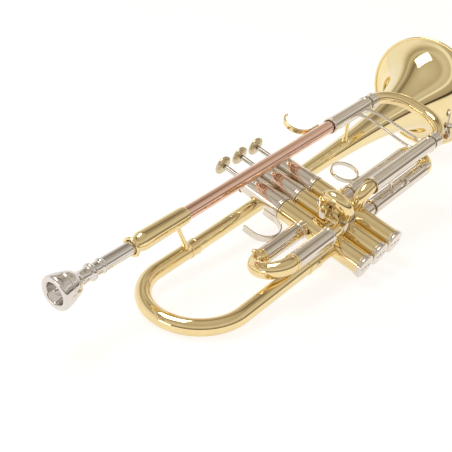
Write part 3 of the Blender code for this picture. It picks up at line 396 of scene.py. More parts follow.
CASING_RADIUS = 9.3
CASING_SEAT = CASING_RADIUS - 0.1
valves = []
for number in (1, 2, 3):
    low, high = spans("casing_%d" % number)
    valves.append(Vector(((low.x + high.x) / 2.0, 0.0, (low.z + high.z) / 2.0)))
upper_leg = ends("main_leg_upper", X)[1]
lower_leg = ends("main_leg_lower", X)[1]
bend_x = X * (upper_leg.x - 2.0)
upper_line = Vector((0.0, upper_leg.y, upper_leg.z))
lower_line = Vector((0.0, lower_leg.y, lower_leg.z))
bow_path = [upper_line + bend_x - X * 4.5, upper_line + bend_x - X * 0.5]
bow_path += arc(upper_line + bend_x - Y * BOW_CORNER, Y, X, BOW_CORNER, 0.0, 90.0, 24)
bow_path += arc(lower_line + bend_x + Y * BOW_CORNER, X, -Y, BOW_CORNER, 0.0, 90.0, 24)
bow_path += [lower_line + bend_x - X * 0.5, lower_line + bend_x - X * 4.5]
tuning_bow = bmesh.new()
bent_tube(tuning_bow, bow_path, LEG_RADIUS)
fit("tuning_bow_brass", tuning_bow, yellow_brass, "tuning_bow")

KNUCKLE_RADIUS = 14.0
knuckle_start = ends("main_knuckle", X)[1]
knuckle_middle = Vector((valves[2].x + KNUCKLE_RADIUS, knuckle_start.y, knuckle_start.z - KNUCKLE_RADIUS))
knuckle_path = [knuckle_start] + arc(knuckle_middle, Z, -X, KNUCKLE_RADIUS, 0.0, 90.0, 24)
knuckle_path.append(Vector((valves[2].x, knuckle_start.y, valves[2].z + CASING_RADIUS)))
knuckle = bmesh.new()
bent_tube(knuckle, knuckle_path, LEG_RADIUS, tail=(valves[2], Y, CASING_SEAT))
fit("main_knuckle_brass", knuckle, yellow_brass, "main_knuckle")

# Tuning slide braces: nickel silver rod, curved in under the upper sleeve and soldered with a small
# fillet at each end.
BRACE_RADIUS = 1.3
BRACE_SWING = 6.0


def solid_rod(bm, path, radii, sides=24, head=None, tail=None):
    """Rod along a path with a radius at each point; `head` and `tail` seat its ends on tubes."""
    turns = frames_along(path)
    rings = []
    for point, (across, up), radius in zip(path, turns, radii):
        rings.append(circle(point, across, up, radius, sides))
    first = [path[0]]
    last = [path[-1]]
    if head:
        heading = (path[0] - path[1]).normalized()
        rings[0] = seated(rings[0], heading, *head)
        first = seated([path[1]], heading, *head)
    if tail:
        heading = (path[-1] - path[-2]).normalized()
        rings[-1] = seated(rings[-1], heading, *tail)
        last = seated([path[-2]], heading, *tail)
    skin(bm, [first] + rings + [last])


brace_tops = {"front": (-3.6, -1.8), "rear": (-18.0, -19.5)}
sleeve_end = ends("main_sleeve_upper", X)[1].x
for name, (upper_offset, lower_offset) in brace_tops.items():
    top = upper_line.y - SLEEVE_RADIUS - 0.6
    bottom = lower_line.y + SLEEVE_RADIUS + 0.6
    path = []
    radii = []
    for step in range(49):
        share = step / 48.0
        lean = sleeve_end + upper_offset + (lower_offset - upper_offset) * share
        swing = BRACE_SWING * math.sin(math.pi * share) * (1.0 - share) ** 2
        height = top + (bottom - top) * share
        path.append(Vector((lean + swing, height, upper_line.z)))
        nearest = min(top - height, height - bottom)
        radii.append(BRACE_RADIUS + 1.2 * math.exp(-nearest / 0.8))
    ring_reach = SLEEVE_RADIUS - 0.1
    path[0] += Y * 0.7
    path[-1] -= Y * 0.7
    brace = bmesh.new()
    solid_rod(brace, path, radii, 24, (upper_line, X, ring_reach), (lower_line, X, ring_reach))
    fit("tuning_brace_%s_nickel" % name, brace, nickel, "tuning_brace_" + name)

# Water key: nickel silver saddle and rocking lever with a cork that closes a drain in the bow. A
# sprung wire holds the cork down until the finger presses the oval pad.
corner = lower_line + bend_x + Y * BOW_CORNER
corner_reach = BOW_CORNER + LEG_RADIUS
KEY_ANGLE = 46.0
CORK_ANGLE = 66.0
PAD_ANGLE = 17.0


def off_bow(angle, rise, side=0.0):
    """Point `rise` millimetres off the bow's outer curve, at an angle below the way ahead."""
    bearing = math.radians(angle)
    reach = corner_reach + rise
    return corner + X * (reach * math.cos(bearing)) - Y * (reach * math.sin(bearing)) + Z * side


def strap(bm, path, side, widths, thickness, closed=False, squareness=5.0, sides=24):
    """Flat strip with rounded edges along a path; `widths` is one width or one for each point."""
    rings = []
    count = len(path)
    for index, point in enumerate(path):
        before = path[index - 1] if closed or index else point
        after = path[(index + 1) % count] if closed or index + 1 < count else point
        normal = (after - before).normalized().cross(side).normalized()
        width = widths[index] if isinstance(widths, list) else widths
        ring = []
        for step in range(sides):
            angle = 2.0 * math.pi * (step + 0.5) / sides
            across = math.copysign(abs(math.cos(angle)) ** (2.0 / squareness), math.cos(angle))
            over = math.copysign(abs(math.sin(angle)) ** (2.0 / squareness), math.sin(angle))
            ring.append(point + side * (across * width / 2.0) + normal * (over * thickness / 2.0))
        rings.append(ring)
    skin(bm, rings, closed)


def flowing(knots, steps=8):
    """Smooth curve through a few points."""
    padded = [knots[0] * 2.0 - knots[1]] + list(knots) + [knots[-1] * 2.0 - knots[-2]]
    curve = []
    for a, b, c, d in zip(padded, padded[1:], padded[2:], padded[3:]):
        for step in range(steps):
            t = step / steps
            pull = (c - a) * t + (a * 2.0 - b * 5.0 + c * 4.0 - d) * t**2 + (b * 3.0 - a - c * 3.0 + d) * t**3
            curve.append(b + pull / 2.0)
    curve.append(knots[-1])
    return curve


key_pivot = off_bow(KEY_ANGLE, 4.6)
key_out = (key_pivot - corner).normalized()
key_along = Z.cross(key_out)
saddle = bmesh.new()
foot_path = [off_bow(KEY_ANGLE + lean, 0.9) for lean in (-5.0, -2.5, 0.0, 2.5, 5.0)]
strap(saddle, foot_path, Z, 9.6, 1.6)
for side in (-4.2, 4.2):
    ear = [off_bow(KEY_ANGLE, rise, side) for rise in (0.6, 2.5, 4.6, 6.4)]
    strap(saddle, ear, key_along, [6.4, 5.2, 4.2, 2.6], 1.3)
turned(saddle, [(-5.0, 0.0), (-5.0, 0.8), (5.0, 0.8), (5.0, 0.0)], key_pivot, Z, 24)
turned(saddle, [(4.8, 0.0), (4.8, 1.7, 0.3), (5.6, 1.5, 0.3), (5.6, 0.0)], key_pivot, Z, 32)
fit("water_key_saddle_nickel", saddle, nickel, "water_key_saddle")

pad_middle = off_bow(PAD_ANGLE, 18.0)
pad_run = (pad_middle - key_pivot).normalized()
pad_face = pad_run.cross(Z).normalized()
lever_knots = [off_bow(CORK_ANGLE, 4.2), off_bow(CORK_ANGLE - 7.0, 4.6), key_pivot]
lever_knots += [off_bow(KEY_ANGLE - 14.0, 8.5), off_bow(PAD_ANGLE + 4.0, 16.6), pad_middle]
lever = bmesh.new()
strap(lever, flowing(lever_knots), Z, 3.0, 1.6, squareness=3.0)
turned(lever, [(-3.1, 1.0), (-3.1, 1.9), (3.1, 1.9), (3.1, 1.0)], key_pivot, Z, 32)
cork_out = (off_bow(CORK_ANGLE, 1.0) - corner).normalized()
cup_base = off_bow(CORK_ANGLE, 2.5)
turned(lever, [(0.0, 0.0), (0.0, 3.6), (1.6, 3.6, 0.6), (2.4, 2.2, 0.6), (2.6, 0.0)], cup_base, cork_out, 40)
pad_outline = [(-0.8, 0.0), (-0.8, 5.4, 0.4), (0.3, 6.2, 0.6), (1.0, 5.2, 0.8), (0.5, 2.6, 1.5), (0.3, 0.0)]
pad = bmesh.new()
turned(pad, pad_outline, pad_middle, pad_face, 48)
for vert in pad.verts:
    vert.co -= Z * ((vert.co - pad_middle).dot(Z) * 0.32)
pad_mesh = bpy.data.meshes.new("pad")
pad.to_mesh(pad_mesh)
pad.free()
lever.from_mesh(pad_mesh)
bpy.data.meshes.remove(pad_mesh)
fit("water_key_lever_nickel", lever, nickel, "water_key_lever")

# Natural cork, punched from sheet: a matt brown grain with open cells 0.7 mm across.
cork_finish = bpy.data.materials.new("natural_cork")
cork_finish.use_nodes = True
cork_finish["slot"] = "cork"
cork_tree = cork_finish.node_tree
cork_shader = cork_tree.nodes["Principled BSDF"]
cork_spot = add(cork_tree, "ShaderNodeTexCoord").outputs["Object"]
cork_cells = add(cork_tree, "ShaderNodeTexVoronoi", {"Vector": cork_spot, "Scale": per_mm(0.7)})
cork_tone = add(
    cork_tree,
    "ShaderNodeMix",
    {0: cork_cells.outputs["Distance"], 6: linear("#8A5F3A"), 7: linear("#C49A6C")},
    data_type="RGBA",
)
cork_tree.links.new(cork_tone.outputs[2], cork_shader.inputs["Base Color"])
cork_bump = add(cork_tree, "ShaderNodeBump", {"Height": cork_cells.outputs["Distance"], "Distance": 0.1 * MM})
cork_tree.links.new(cork_bump.outputs["Normal"], cork_shader.inputs["Normal"])
cork_shader.inputs["Roughness"].default_value = 0.85
cork = bmesh.new()
cork_outline = [(0.0, 0.0), (0.0, 2.6, 0.4), (2.4, 2.8, 0.3), (2.4, 0.0)]
turned(cork, cork_outline, off_bow(CORK_ANGLE, 0.15), cork_out, 32)
fit("water_key_cork_plug", cork, cork_finish, "water_key_cork")

# Spring steel wire, hard drawn and left dull: dark grey with a soft gleam.
spring_wire = buffed_metal("drawn_spring_steel", "spring_steel", "#A09A94", "#7E7770", 0.28)
spring_path = [key_pivot + key_along * 6.5 - key_out + Z * 2.0]
for step in range(41):
    bearing = math.radians(-90.0 - 9.0 * step)
    coil = key_along * (2.3 * math.cos(bearing)) + key_out * (2.3 * math.sin(bearing))
    spring_path.append(key_pivot + coil + Z * (2.0 + 0.0225 * step))
spring_path.append(key_pivot - key_along * 4.5 - key_out * 2.3 + Z * 2.9)
key_spring = bmesh.new()
solid_rod(key_spring, spring_path, [0.24] * len(spring_path), 12)
fit("water_key_spring_wire", key_spring, spring_wire, "water_key_spring")

# Valve casings: yellow brass tube below and nickel silver balusters above, brazed together at a
# pair of fine rings, bored for the pistons and lacquered.
CASING_BORE = 8.4
CAP_RADIUS = 10.4
CAP_THREAD = 9.6


def cut(piece, *tools):
    """Cut the tool shapes out of a piece."""
    for bm in tools:
        bm.transform(to_world)
        mesh = bpy.data.meshes.new("tool")
        bm.to_mesh(mesh)
        bm.free()
        tool = bpy.data.objects.new("tool", mesh)
        bpy.context.scene.collection.objects.link(tool)
        modifier = piece.modifiers.new("cut", "BOOLEAN")
        modifier.operation = "DIFFERENCE"
        modifier.solver = "EXACT"
        modifier.object = tool
        bpy.context.view_layer.update()
        shaped = piece.evaluated_get(bpy.context.evaluated_depsgraph_get())
        done = bpy.data.meshes.new_from_object(shaped)
        piece.modifiers.remove(modifier)
        piece.data = done
        bpy.data.objects.remove(tool)


for number, valve in enumerate(valves, start=1):
    low, high = spans("casing_%d" % number)
    casing = bmesh.new()
    pipe(casing, valve + Y * low.y, valve + Y * high.y, CASING_RADIUS, CASING_BORE, 96)
    fit("casing_%d_brass" % number, casing, yellow_brass, "casing_%d" % number)

    low, high = spans("baluster_%d" % number)
    height = high.y - low.y
    baluster = bmesh.new()
    outline = [(0.0, 9.5, 0.1), (0.1, 9.95, 0.3), (1.0, 9.95, 0.3), (1.2, 9.5, 0.15), (1.9, 9.45, 0.1)]
    outline += [(2.1, 9.8, 0.25), (2.9, 9.8, 0.25), (3.2, 9.35, 0.3), (height / 2.0, 9.1, 12.0)]
    outline += [(height, CASING_RADIUS, 0.2), (height, CASING_BORE, 0.1), (0.0, CASING_BORE, 0.1)]
    turned(baluster, outline, valve + Y * low.y, Y, 96)
    fit("baluster_%d_nickel" % number, baluster, nickel, "baluster_%d" % number)

# Valve caps: nickel silver, turned, with a milled band to grip. The bottom caps have a vent hole
# with two short slots beside it and the top caps a hole for the stem.
VENT_RADIUS = 1.2
SLOT_OUT = 4.6
STEM_HOLE = 2.7
for number, valve in enumerate(valves, start=1):
    low, high = spans("bottom_cap_%d" % number)
    height = high.y - low.y
    outline = [(0.0, VENT_RADIUS, 0.15), (0.0, 9.6, 0.4), (0.6, CAP_RADIUS, 0.5), (1.8, CAP_RADIUS, 0.4)]
    outline += [(2.2, 10.05, 0.3), (3.4, 10.05, 0.3), (3.8, 10.2, 0.2), (height, 10.15, 0.2)]
    outline += [(height, CAP_THREAD, 0.1), (1.5, CAP_THREAD, 0.1), (1.5, VENT_RADIUS, 0.1)]
    cap = bmesh.new()
    turned(cap, outline, valve + Y * low.y, Y, 96)
    bottom_cap = fit("bottom_cap_%d_nickel" % number, cap, nickel, "bottom_cap_%d" % number)
    tools = []
    for side in (-1.0, 1.0):
        tool = bmesh.new()
        slot_middle = valve + X * (side * SLOT_OUT)
        strap(tool, [slot_middle - Y * 2.0, slot_middle + Y * 3.0], X, 3.6, 1.1, sides=16)
        tools.append(tool)
    cut(bottom_cap, *tools)

    low, high = spans("top_cap_%d" % number)
    height = high.y - low.y
    outline = [(0.0, CAP_THREAD, 0.1), (0.0, CAP_RADIUS - 0.1, 0.2), (0.6, CAP_RADIUS, 0.2)]
    outline += [(2.2, CAP_RADIUS, 0.3), (2.6, 10.0, 0.2), (3.4, 10.0, 0.2), (3.8, CAP_RADIUS - 0.05, 0.25)]
    outline += [(4.9, 10.2, 0.6), (6.0, 8.9, 0.8), (6.6, 6.6, 0.8), (height, 5.4, 0.6)]
    outline += [(height, STEM_HOLE, 0.2), (3.7, STEM_HOLE, 0.1), (3.7, CAP_THREAD, 0.1)]
    cap = bmesh.new()
    turned(cap, outline, valve + Y * low.y, Y, 96)
    fit("top_cap_%d_nickel" % number, cap, nickel, "top_cap_%d" % number)

# Pistons and finger buttons: hard white piston alloy, ground to fit the casing, with a bright stem,
# and a nickel silver button screwed on the stem over a felt. The springs stay the CAD's own wire.
PISTON_RADIUS = 8.1
PISTON_BORE = 6.9
PISTON_CROWN = 60.0
STEM_RADIUS = 2.2
# The buttons' nickel silver is worn satin by fingers; the pistons' alloy is ground and lapped grey.
# The buttons' two colours are painted shade: darker and warmer than the other nickel silver.
shaded_button_nickel = buffed_metal("satin_nickel_silver_painted_shade", "nickel_silver", "#D3C8AE", "#C3B699", 0.2)
piston_alloy = buffed_metal("ground_piston_alloy", "piston_alloy", "#D6D2CC", "#BDB8B0", 0.12)
for number, valve in enumerate(valves, start=1):
    low, high = spans("piston_%d" % number)
    inside = PISTON_CROWN - 2.0
    stem_top = high.y - low.y
    outline = [(inside, 0.0), (inside, PISTON_BORE), (0.0, PISTON_BORE), (0.0, PISTON_RADIUS)]
    outline += [(PISTON_CROWN, PISTON_RADIUS), (PISTON_CROWN, STEM_RADIUS)]
    outline += [(stem_top, STEM_RADIUS), (stem_top, 0.0)]
    piston = bmesh.new()
    turned(piston, outline, valve + Y * low.y, Y, 64)
    fit("piston_%d_alloy" % number, piston, piston_alloy, "piston_%d" % number)

    low, high = spans("button_%d" % number)
    outline = [(0.0, 0.0), (0.0, 4.0, 0.3), (0.5, 6.9, 0.6), (1.4, 8.4, 0.6), (2.6, 8.9, 0.7)]
    outline += [(3.8, 8.5, 0.7), (4.75, 7.3, 0.5), (4.75, 6.5, 0.3), (4.2, 5.9, 0.3), (4.3, 3.0, 1.0)]
    outline.append((4.35, 0.0))
    button = bmesh.new()
    turned(button, outline, valve + Y * low.y, Y, 72)
    fit("button_%d_nickel" % number, button, shaded_button_nickel, "button_%d" % number)

    spring = frame["nodes"]["valve_spring_%d" % number]
    spring.data.materials.clear()
    spring.data.materials.append(spring_wire)

# Crossover tubes and the ferrule nub: short brass tubes brazed between the casings, and a small
# turned nub on the third casing.
CROSSOVER_RADIUS = 5.4
for name, left, right in (("crossover_12", valves[0], valves[1]), ("crossover_23", valves[1], valves[2])):
    low, high = spans(name)
    middle = (left + right) / 2.0 + Y * ((low.y + high.y) / 2.0)
    rings = []
    for radius in (CROSSOVER_RADIUS, CROSSOVER_RADIUS - TUBE_WALL):
        for way, valve in ((-X, left), (X, right)):
            rings.append(seated(circle(middle, Z, Y, radius, 48), way, valve, Y, CASING_SEAT))
    outer_left, outer_right, bore_left, bore_right = rings
    tube = bmesh.new()
    skin(tube, [outer_left, outer_right, bore_right, bore_left], True)
    fit(name + "_brass", tube, yellow_brass, name)

nub_foot = valves[2] + Vector((6.3, 63.3, 6.9))
nub_axis = Vector((0.68, 0.0, 0.74)).normalized()
nub = bmesh.new()
nub_outline = [(-1.0, 0.0), (-1.0, 1.9), (1.4, 1.9), (2.0, 2.6), (3.4, 2.4, 0.5), (3.8, 0.0)]
turned(nub, nub_outline, nub_foot, nub_axis, 32)
fit("third_casing_nub", nub, yellow_brass, body="horn")


# First valve slide: two nickel silver sleeves that run over fixed legs, joined by a brass crook
# with a pull knob. A nickel silver saddle for the thumb is soldered on the upper sleeve.
def crook(bm, upper, lower, out, ferrule, radius, steps=48):
    """Half-circle tube between two sleeves, with a ferrule on each end."""
    middle = (upper + lower) / 2.0 + out * (ferrule + 0.4)
    rise = (upper - lower).normalized()
    path = [upper + out * 0.6]
    path += arc(middle, rise, out, (upper - lower).length / 2.0, 0.0, 180.0, steps)
    path.append(lower + out * 0.6)
    bent_tube(bm, path, radius, wall=1.2)
    for end in (upper, lower):
        pipe(bm, end, end + out * ferrule, SLEEVE_RADIUS, LEG_RADIUS - TUBE_WALL, tail_ring=0.15)


def pull_knob(bm, foot, axis):
    """Turned knob on a crook's side, with its foot sunk in the tube."""
    outline = [(4.6, 0.0), (4.6, 2.3, 0.5), (5.6, 1.6, 0.6), (7.2, 1.5, 0.4), (8.0, 2.6, 0.5)]
    outline += [(9.4, 2.6, 0.6), (10.3, 1.6, 0.6), (10.4, 0.0)]
    turned(bm, outline, foot, axis, 32)


KNOB_BACK = 7.7
for side in ("upper", "lower"):
    sleeve_tail, sleeve_head = ends("slide1_sleeve_" + side, X)
    sleeve = bmesh.new()
    pipe(sleeve, sleeve_head, sleeve_tail, SLEEVE_RADIUS, SLEEVE_BORE, ring=0.6)
    fit("slide1_sleeve_%s_nickel" % side, sleeve, nickel, "slide1_sleeve_" + side)
slide1_upper = ends("slide1_sleeve_upper", X)[0]
slide1_lower = ends("slide1_sleeve_lower", X)[0]
crook1 = bmesh.new()
crook(crook1, slide1_upper - X * 0.3, slide1_lower - X * 0.3, -X, 3.0, 6.6)
crook1_rise = (slide1_upper - slide1_lower).normalized()
pull_knob(crook1, slide1_upper - X * (KNOB_BACK + 0.6) - crook1_rise * 0.8, X.cross(crook1_rise))
fit("slide1_crook_brass", crook1, yellow_brass, "slide1_crook")

slide1_leg = bmesh.new()
leg_back = ends("slide1_leg_upper", X)[0]
leg_seat = (valves[0], Y, CASING_SEAT)
leg_path = [leg_back, leg_back + X * 20.0, Vector((valves[0].x - CASING_RADIUS, leg_back.y, leg_back.z))]
bent_tube(slide1_leg, leg_path, LEG_RADIUS, tail=leg_seat)
fit("slide1_leg_upper_nickel", slide1_leg, nickel, "slide1_leg_upper")
leg_back = ends("slide1_leg_lower", X)[0]
elbow = leg_back.z - CASING_RADIUS - 0.6
elbow_middle = Vector((valves[0].x - elbow, leg_back.y, leg_back.z - elbow))
leg_path = [leg_back] + arc(elbow_middle, Z, X, elbow, 0.0, 90.0, 24)
leg_path.append(Vector((valves[0].x, leg_back.y, CASING_RADIUS)))
slide1_elbow = bmesh.new()
bent_tube(slide1_elbow, leg_path, LEG_RADIUS, tail=leg_seat)
fit("slide1_leg_lower_brass", slide1_elbow, yellow_brass, "slide1_leg_lower")

low, high = spans("slide1_saddle")
SADDLE_THICKNESS = 1.3
saddle_radius = (high.x - low.x - SADDLE_THICKNESS) / 2.0
saddle_middle = (low + high) / 2.0
saddle_middle.y = low.y + SADDLE_THICKNESS / 2.0 + saddle_radius
saddle_path = [saddle_middle - X * saddle_radius + Y * rise for rise in (9.0, 6.0, 3.0)]
saddle_path += arc(saddle_middle, -X, -Y, saddle_radius, 0.0, 180.0, 48)
saddle_path += [saddle_middle + X * saddle_radius + Y * rise for rise in (3.5, 7.0, 11.0)]
thumb_saddle = bmesh.new()
strap(thumb_saddle, saddle_path, Z, high.z - low.z, SADDLE_THICKNESS)
fit("thumb_saddle_nickel", thumb_saddle, nickel, "slide1_saddle")

# Second valve slide: a short brass crook in two fixed nickel silver sleeves on the middle casing,
# with a pull knob on its side.
slide2_axis = axes["second_slide_pull"]
slide2_axis = (turn.inverted().to_3x3() @ slide2_axis).normalized()
crook2_ends = []
for side in ("upper", "lower"):
    sleeve_tip = ends("slide2_sleeve_" + side, slide2_axis)[1]
    root = Vector((valves[1].x, sleeve_tip.y, valves[1].z))
    sleeve = bmesh.new()
    path = [sleeve_tip, sleeve_tip - slide2_axis * 1.0, root + slide2_axis * CASING_RADIUS]
    bent_tube(sleeve, path, SLEEVE_RADIUS, wall=0.7, tail=(valves[1], Y, CASING_SEAT))
    pipe(sleeve, sleeve_tip - slide2_axis * 2.0, sleeve_tip, SLEEVE_RADIUS + 0.35, SLEEVE_BORE, ring=0.0)
    fit("slide2_sleeve_%s_nickel" % side, sleeve, nickel, "slide2_sleeve_" + side)
    crook2_ends.append(root)
upper_root, lower_root = crook2_ends
bend = slide2_axis * ((sleeve_tip - lower_root).length + 3.0)
crook2_middle = (upper_root + lower_root) / 2.0 + bend
crook2_reach = (upper_root - lower_root).length / 2.0
crook2_path = [upper_root + slide2_axis * (CASING_RADIUS + 2.0)]
crook2_path += arc(crook2_middle, Y, slide2_axis, crook2_reach, 0.0, 180.0, 48)
crook2_path.append(lower_root + slide2_axis * (CASING_RADIUS + 2.0))
crook2 = bmesh.new()
bent_tube(crook2, crook2_path, LEG_RADIUS)
pull_knob(crook2, upper_root - Y * 0.6 + bend, (slide2_axis.cross(Y) - Y * 0.3).normalized())
fit("slide2_crook_brass", crook2, yellow_brass, "slide2_crook")

# Third valve slide: long nickel silver sleeves over fixed legs, a brass crook ahead, and a finger
# ring soldered on the upper sleeve.
for side in ("upper", "lower"):
    sleeve_tail, sleeve_head = ends("slide3_sleeve_" + side, X)
    sleeve = bmesh.new()
    pipe(sleeve, sleeve_tail, sleeve_head, SLEEVE_RADIUS, SLEEVE_BORE, ring=0.6)
    fit("slide3_sleeve_%s_nickel" % side, sleeve, nickel, "slide3_sleeve_" + side)
    leg_tip = ends("slide3_leg_" + side, X)[1]
    leg = bmesh.new()
    root = Vector((valves[2].x + CASING_RADIUS, leg_tip.y, leg_tip.z))
    bent_tube(leg, [leg_tip, leg_tip - X * 20.0, root], LEG_RADIUS, tail=(valves[2], Y, CASING_SEAT))
    fit("slide3_leg_%s_nickel" % side, leg, nickel, "slide3_leg_" + side)
slide3_upper = ends("slide3_sleeve_upper", X)[1]
slide3_lower = ends("slide3_sleeve_lower", X)[1]
crook3 = bmesh.new()
crook(crook3, slide3_upper + X * 0.3, slide3_lower + X * 0.3, X, 3.0, 6.6)
fit("slide3_crook_brass", crook3, yellow_brass, "slide3_crook")

low, high = spans("finger_ring")
RING_THICKNESS = 1.4
RING_WIDTH = 3.8
ring_reach = (high.x - low.x - RING_THICKNESS) / 2.0
ring_middle = (low + high) / 2.0
ring_middle.y = high.y - RING_THICKNESS / 2.0 - ring_reach
ring_path = arc(ring_middle, X, Y, ring_reach, 0.0, 354.0, 59)
finger_ring = bmesh.new()
strap(finger_ring, ring_path, Z, RING_WIDTH, RING_THICKNESS, closed=True)
foot_line = ring_middle - Y * (ring_reach + 0.1)
foot_path = [foot_line + X * reach for reach in (-5.6, -3.0, 0.0, 3.0, 5.6)]
strap(finger_ring, foot_path, Z, [3.0, 4.2, 4.6, 4.2, 3.0], 1.5, squareness=3.5)
fit("finger_ring_nickel", finger_ring, nickel, "finger_ring")

# Third slide stop: a threaded nickel silver rod on a post from the lower tuning sleeve, with a
# knurled stop nut. A collar on the slide runs along it.
ROD_RADIUS = 1.2
NUT_RADIUS = 2.6
NUT_LENGTH = 5.0
rod_start, rod_stop = ends("slide3_stop_rod", X)
rod_length = rod_stop.x - rod_start.x
nut = rod_length - NUT_LENGTH
outline = [(0.0, 0.0), (0.0, 2.0), (4.0, 2.0), (4.0, ROD_RADIUS, 0.1), (nut, ROD_RADIUS, 0.1)]
outline += [(nut, NUT_RADIUS), (nut + 1.2, NUT_RADIUS), (nut + 1.6, 2.2, 0.1), (nut + 3.1, 2.2, 0.1)]
outline += [(nut + 3.5, NUT_RADIUS), (rod_length, NUT_RADIUS), (rod_length, 0.0)]
stop_rod = bmesh.new()
turned(stop_rod, outline, rod_stop - X * rod_length, X, 32)
post_root = rod_stop - X * (rod_length - 2.0)
post_top = Vector((post_root.x, lower_line.y, lower_line.z))
post_way = (post_top - post_root).normalized()
post_gap = (post_top - post_root).length - SLEEVE_RADIUS
post_path = [post_root + post_way * (post_gap * step / 12.0) for step in range(13)]
post_radii = [1.5 + 1.3 * math.exp(-(post_gap - post_gap * step / 12.0) / 1.2) for step in range(13)]
solid_rod(stop_rod, post_path, post_radii, 24, tail=(lower_line, X, SLEEVE_RADIUS - 0.1))
fit("slide3_stop_rod_nickel", stop_rod, nickel, "slide3_stop_rod")

low, high = spans("slide3_stop_tab")
tab_middle = Vector(((low.x + high.x) / 2.0, rod_stop.y, rod_stop.z))
tab_root = Vector((tab_middle.x, slide3_lower.y, slide3_lower.z))
tab_way = (tab_root - tab_middle).normalized()
tab_gap = (tab_root - tab_middle).length - SLEEVE_RADIUS
stop_tab = bmesh.new()
turned(stop_tab, [(-1.5, 1.5), (-1.5, 3.2, 0.4), (1.5, 3.2, 0.4), (1.5, 1.5)], tab_middle, X, 40)
tab_path = [tab_middle + tab_way * (2.6 + (tab_gap - 2.6) * step / 8.0) for step in range(9)]
tab_radii = [1.4 + 0.9 * math.exp(-(tab_gap - 2.6) * (1.0 - step / 8.0) / 0.9) for step in range(9)]
solid_rod(stop_tab, tab_path, tab_radii, 24, tail=(tab_root, X, SLEEVE_RADIUS - 0.1))
fit("slide3_stop_tab_nickel", stop_tab, nickel, "slide3_stop_tab")

# Bell: one sheet of yellow brass, brazed along its seam, hammered and spun on a mandrel. Its rim is
# rolled back over a wire.
BELL_STEM_RADIUS = 6.3
BELL_RIM_RADIUS = 61.5
BELL_WALL = 0.8
BEAD_RADIUS = 1.25
THROAT_SHARE = 0.73
THROAT_REACH = 68.0
LIP_REACH = 9.0
# The same brass, spun thin and buffed by hand: paler, with broader clouds and a slower ripple.
spun_brass = buffed_metal("spun_bell_brass", "lacquered_brass", "#F1E1B4", "#EAD69E", 0.06, 16.0, 12.0, 0.01)
bell_brass = lacquered(spun_brass)
stem_end, rim_middle = ends("bell", X)
low, high = spans("bell")
rim_centre = Vector((rim_middle.x, (low.y + high.y) / 2.0, (low.z + high.z) / 2.0))
bell_axis = (rim_centre - stem_end).normalized()
bell_length = (rim_centre - stem_end).length - 0.4


def bell_radius(from_rim):
    """Outer radius at a distance from the rim: a long throat and a fast lip."""
    throat = THROAT_SHARE * math.exp(-from_rim / THROAT_REACH)
    lip = (1.0 - THROAT_SHARE) * math.exp(-from_rim / LIP_REACH)
    return BELL_STEM_RADIUS + (BELL_RIM_RADIUS - BELL_STEM_RADIUS) * (throat + lip)


outside = []
inside = []
for step in range(81):
    from_rim = bell_length * (1.0 - step / 80.0) ** 2.2
    outside.append((bell_length - from_rim, bell_radius(from_rim), 0.0))
    lip_wall = BELL_WALL * (1.0 - 0.2 * math.exp(-from_rim / LIP_REACH))
    inside.append((bell_length - from_rim, bell_radius(from_rim) - lip_wall * 1.6, 0.0))
outside[-1] = (bell_length - 0.3, BELL_RIM_RADIUS - 0.4, 0.2)
inside[-1] = (bell_length, BELL_RIM_RADIUS - 1.4, 0.2)
bell = bmesh.new()
turned(bell, outside + inside[::-1], stem_end, bell_axis, 144)
across, up = square_to(bell_axis)
bead = []
for step in range(24):
    angle = 2.0 * math.pi * step / 24
    along = bell_length - 1.0 + BEAD_RADIUS * math.cos(angle)
    centre = stem_end + bell_axis * along
    bead.append(circle(centre, across, up, BELL_RIM_RADIUS - 1.05 + BEAD_RADIUS * math.sin(angle), 144))
skin(bell, bead, True)
fit("bell_brass", bell, bell_brass, "bell")

# Bell bow: yellow brass tube bent round from the bell's stem to the first valve, with a turned
# ferrule over each joint.
BOW_TUBE = 6.6
FERRULE_RADIUS = 7.2
BOW_DEPTH = 0.95
FERRULE_GAP = 0.3
low, high = spans("bell_bow")
bow_top = Vector((0.0, stem_end.y, stem_end.z))
near_tail = [point for point in points_of("bell_bow", to_trumpet) if point.x > -62.0 and point.y < 60.0]
tail_low, tail_high = corners(near_tail)
bow_tail = Vector((0.0, (tail_low.y + tail_high.y) / 2.0, (tail_low.z + tail_high.z) / 2.0))
bow_rise = (bow_top - bow_tail).normalized()
bow_reach = (bow_top - bow_tail).length / 2.0
bow_start = low.x + BOW_TUBE + bow_reach * BOW_DEPTH
bow_middle = (bow_top + bow_tail) / 2.0 + X * bow_start
bow_points = []
for point in arc(bow_middle, bow_rise, -X, bow_reach, 0.0, 180.0, 96):
    bow_points.append(point + X * ((point.x - bow_start) * (BOW_DEPTH - 1.0)))
stem_ferrule = bow_top + X * (stem_end.x - FERRULE_GAP)
bell_bow_path = [stem_ferrule, bow_top + X * (stem_end.x - 20.0)] + bow_points
bell_bow_path += [bow_tail + X * -60.0, bow_tail + X * (valves[0].x - CASING_RADIUS)]
bell_bow = bmesh.new()
bent_tube(bell_bow, bell_bow_path, BOW_TUBE, tail=(valves[0], Y, CASING_SEAT))


def ferrule(bm, start, stop):
    """Turned collar with a fine bead at each end."""
    length = (stop - start).length
    seat = BOW_TUBE - 0.2
    neck = FERRULE_RADIUS - 0.25
    outline = [(0.0, seat, 0.0), (0.0, FERRULE_RADIUS, 0.3), (1.4, FERRULE_RADIUS, 0.3), (1.8, neck, 0.2)]
    outline += [(length - 1.8, neck, 0.2), (length - 1.4, FERRULE_RADIUS, 0.3)]
    outline += [(length, FERRULE_RADIUS, 0.3), (length, seat, 0.0)]
    turned(bm, outline, start, (stop - start).normalized(), 72)


ferrule(bell_bow, stem_ferrule - X * 9.7, stem_ferrule)
ferrule(bell_bow, bow_tail - X * 64.0, bow_tail - X * 49.0)
fit("bell_bow_brass", bell_bow, yellow_brass, "bell_bow")


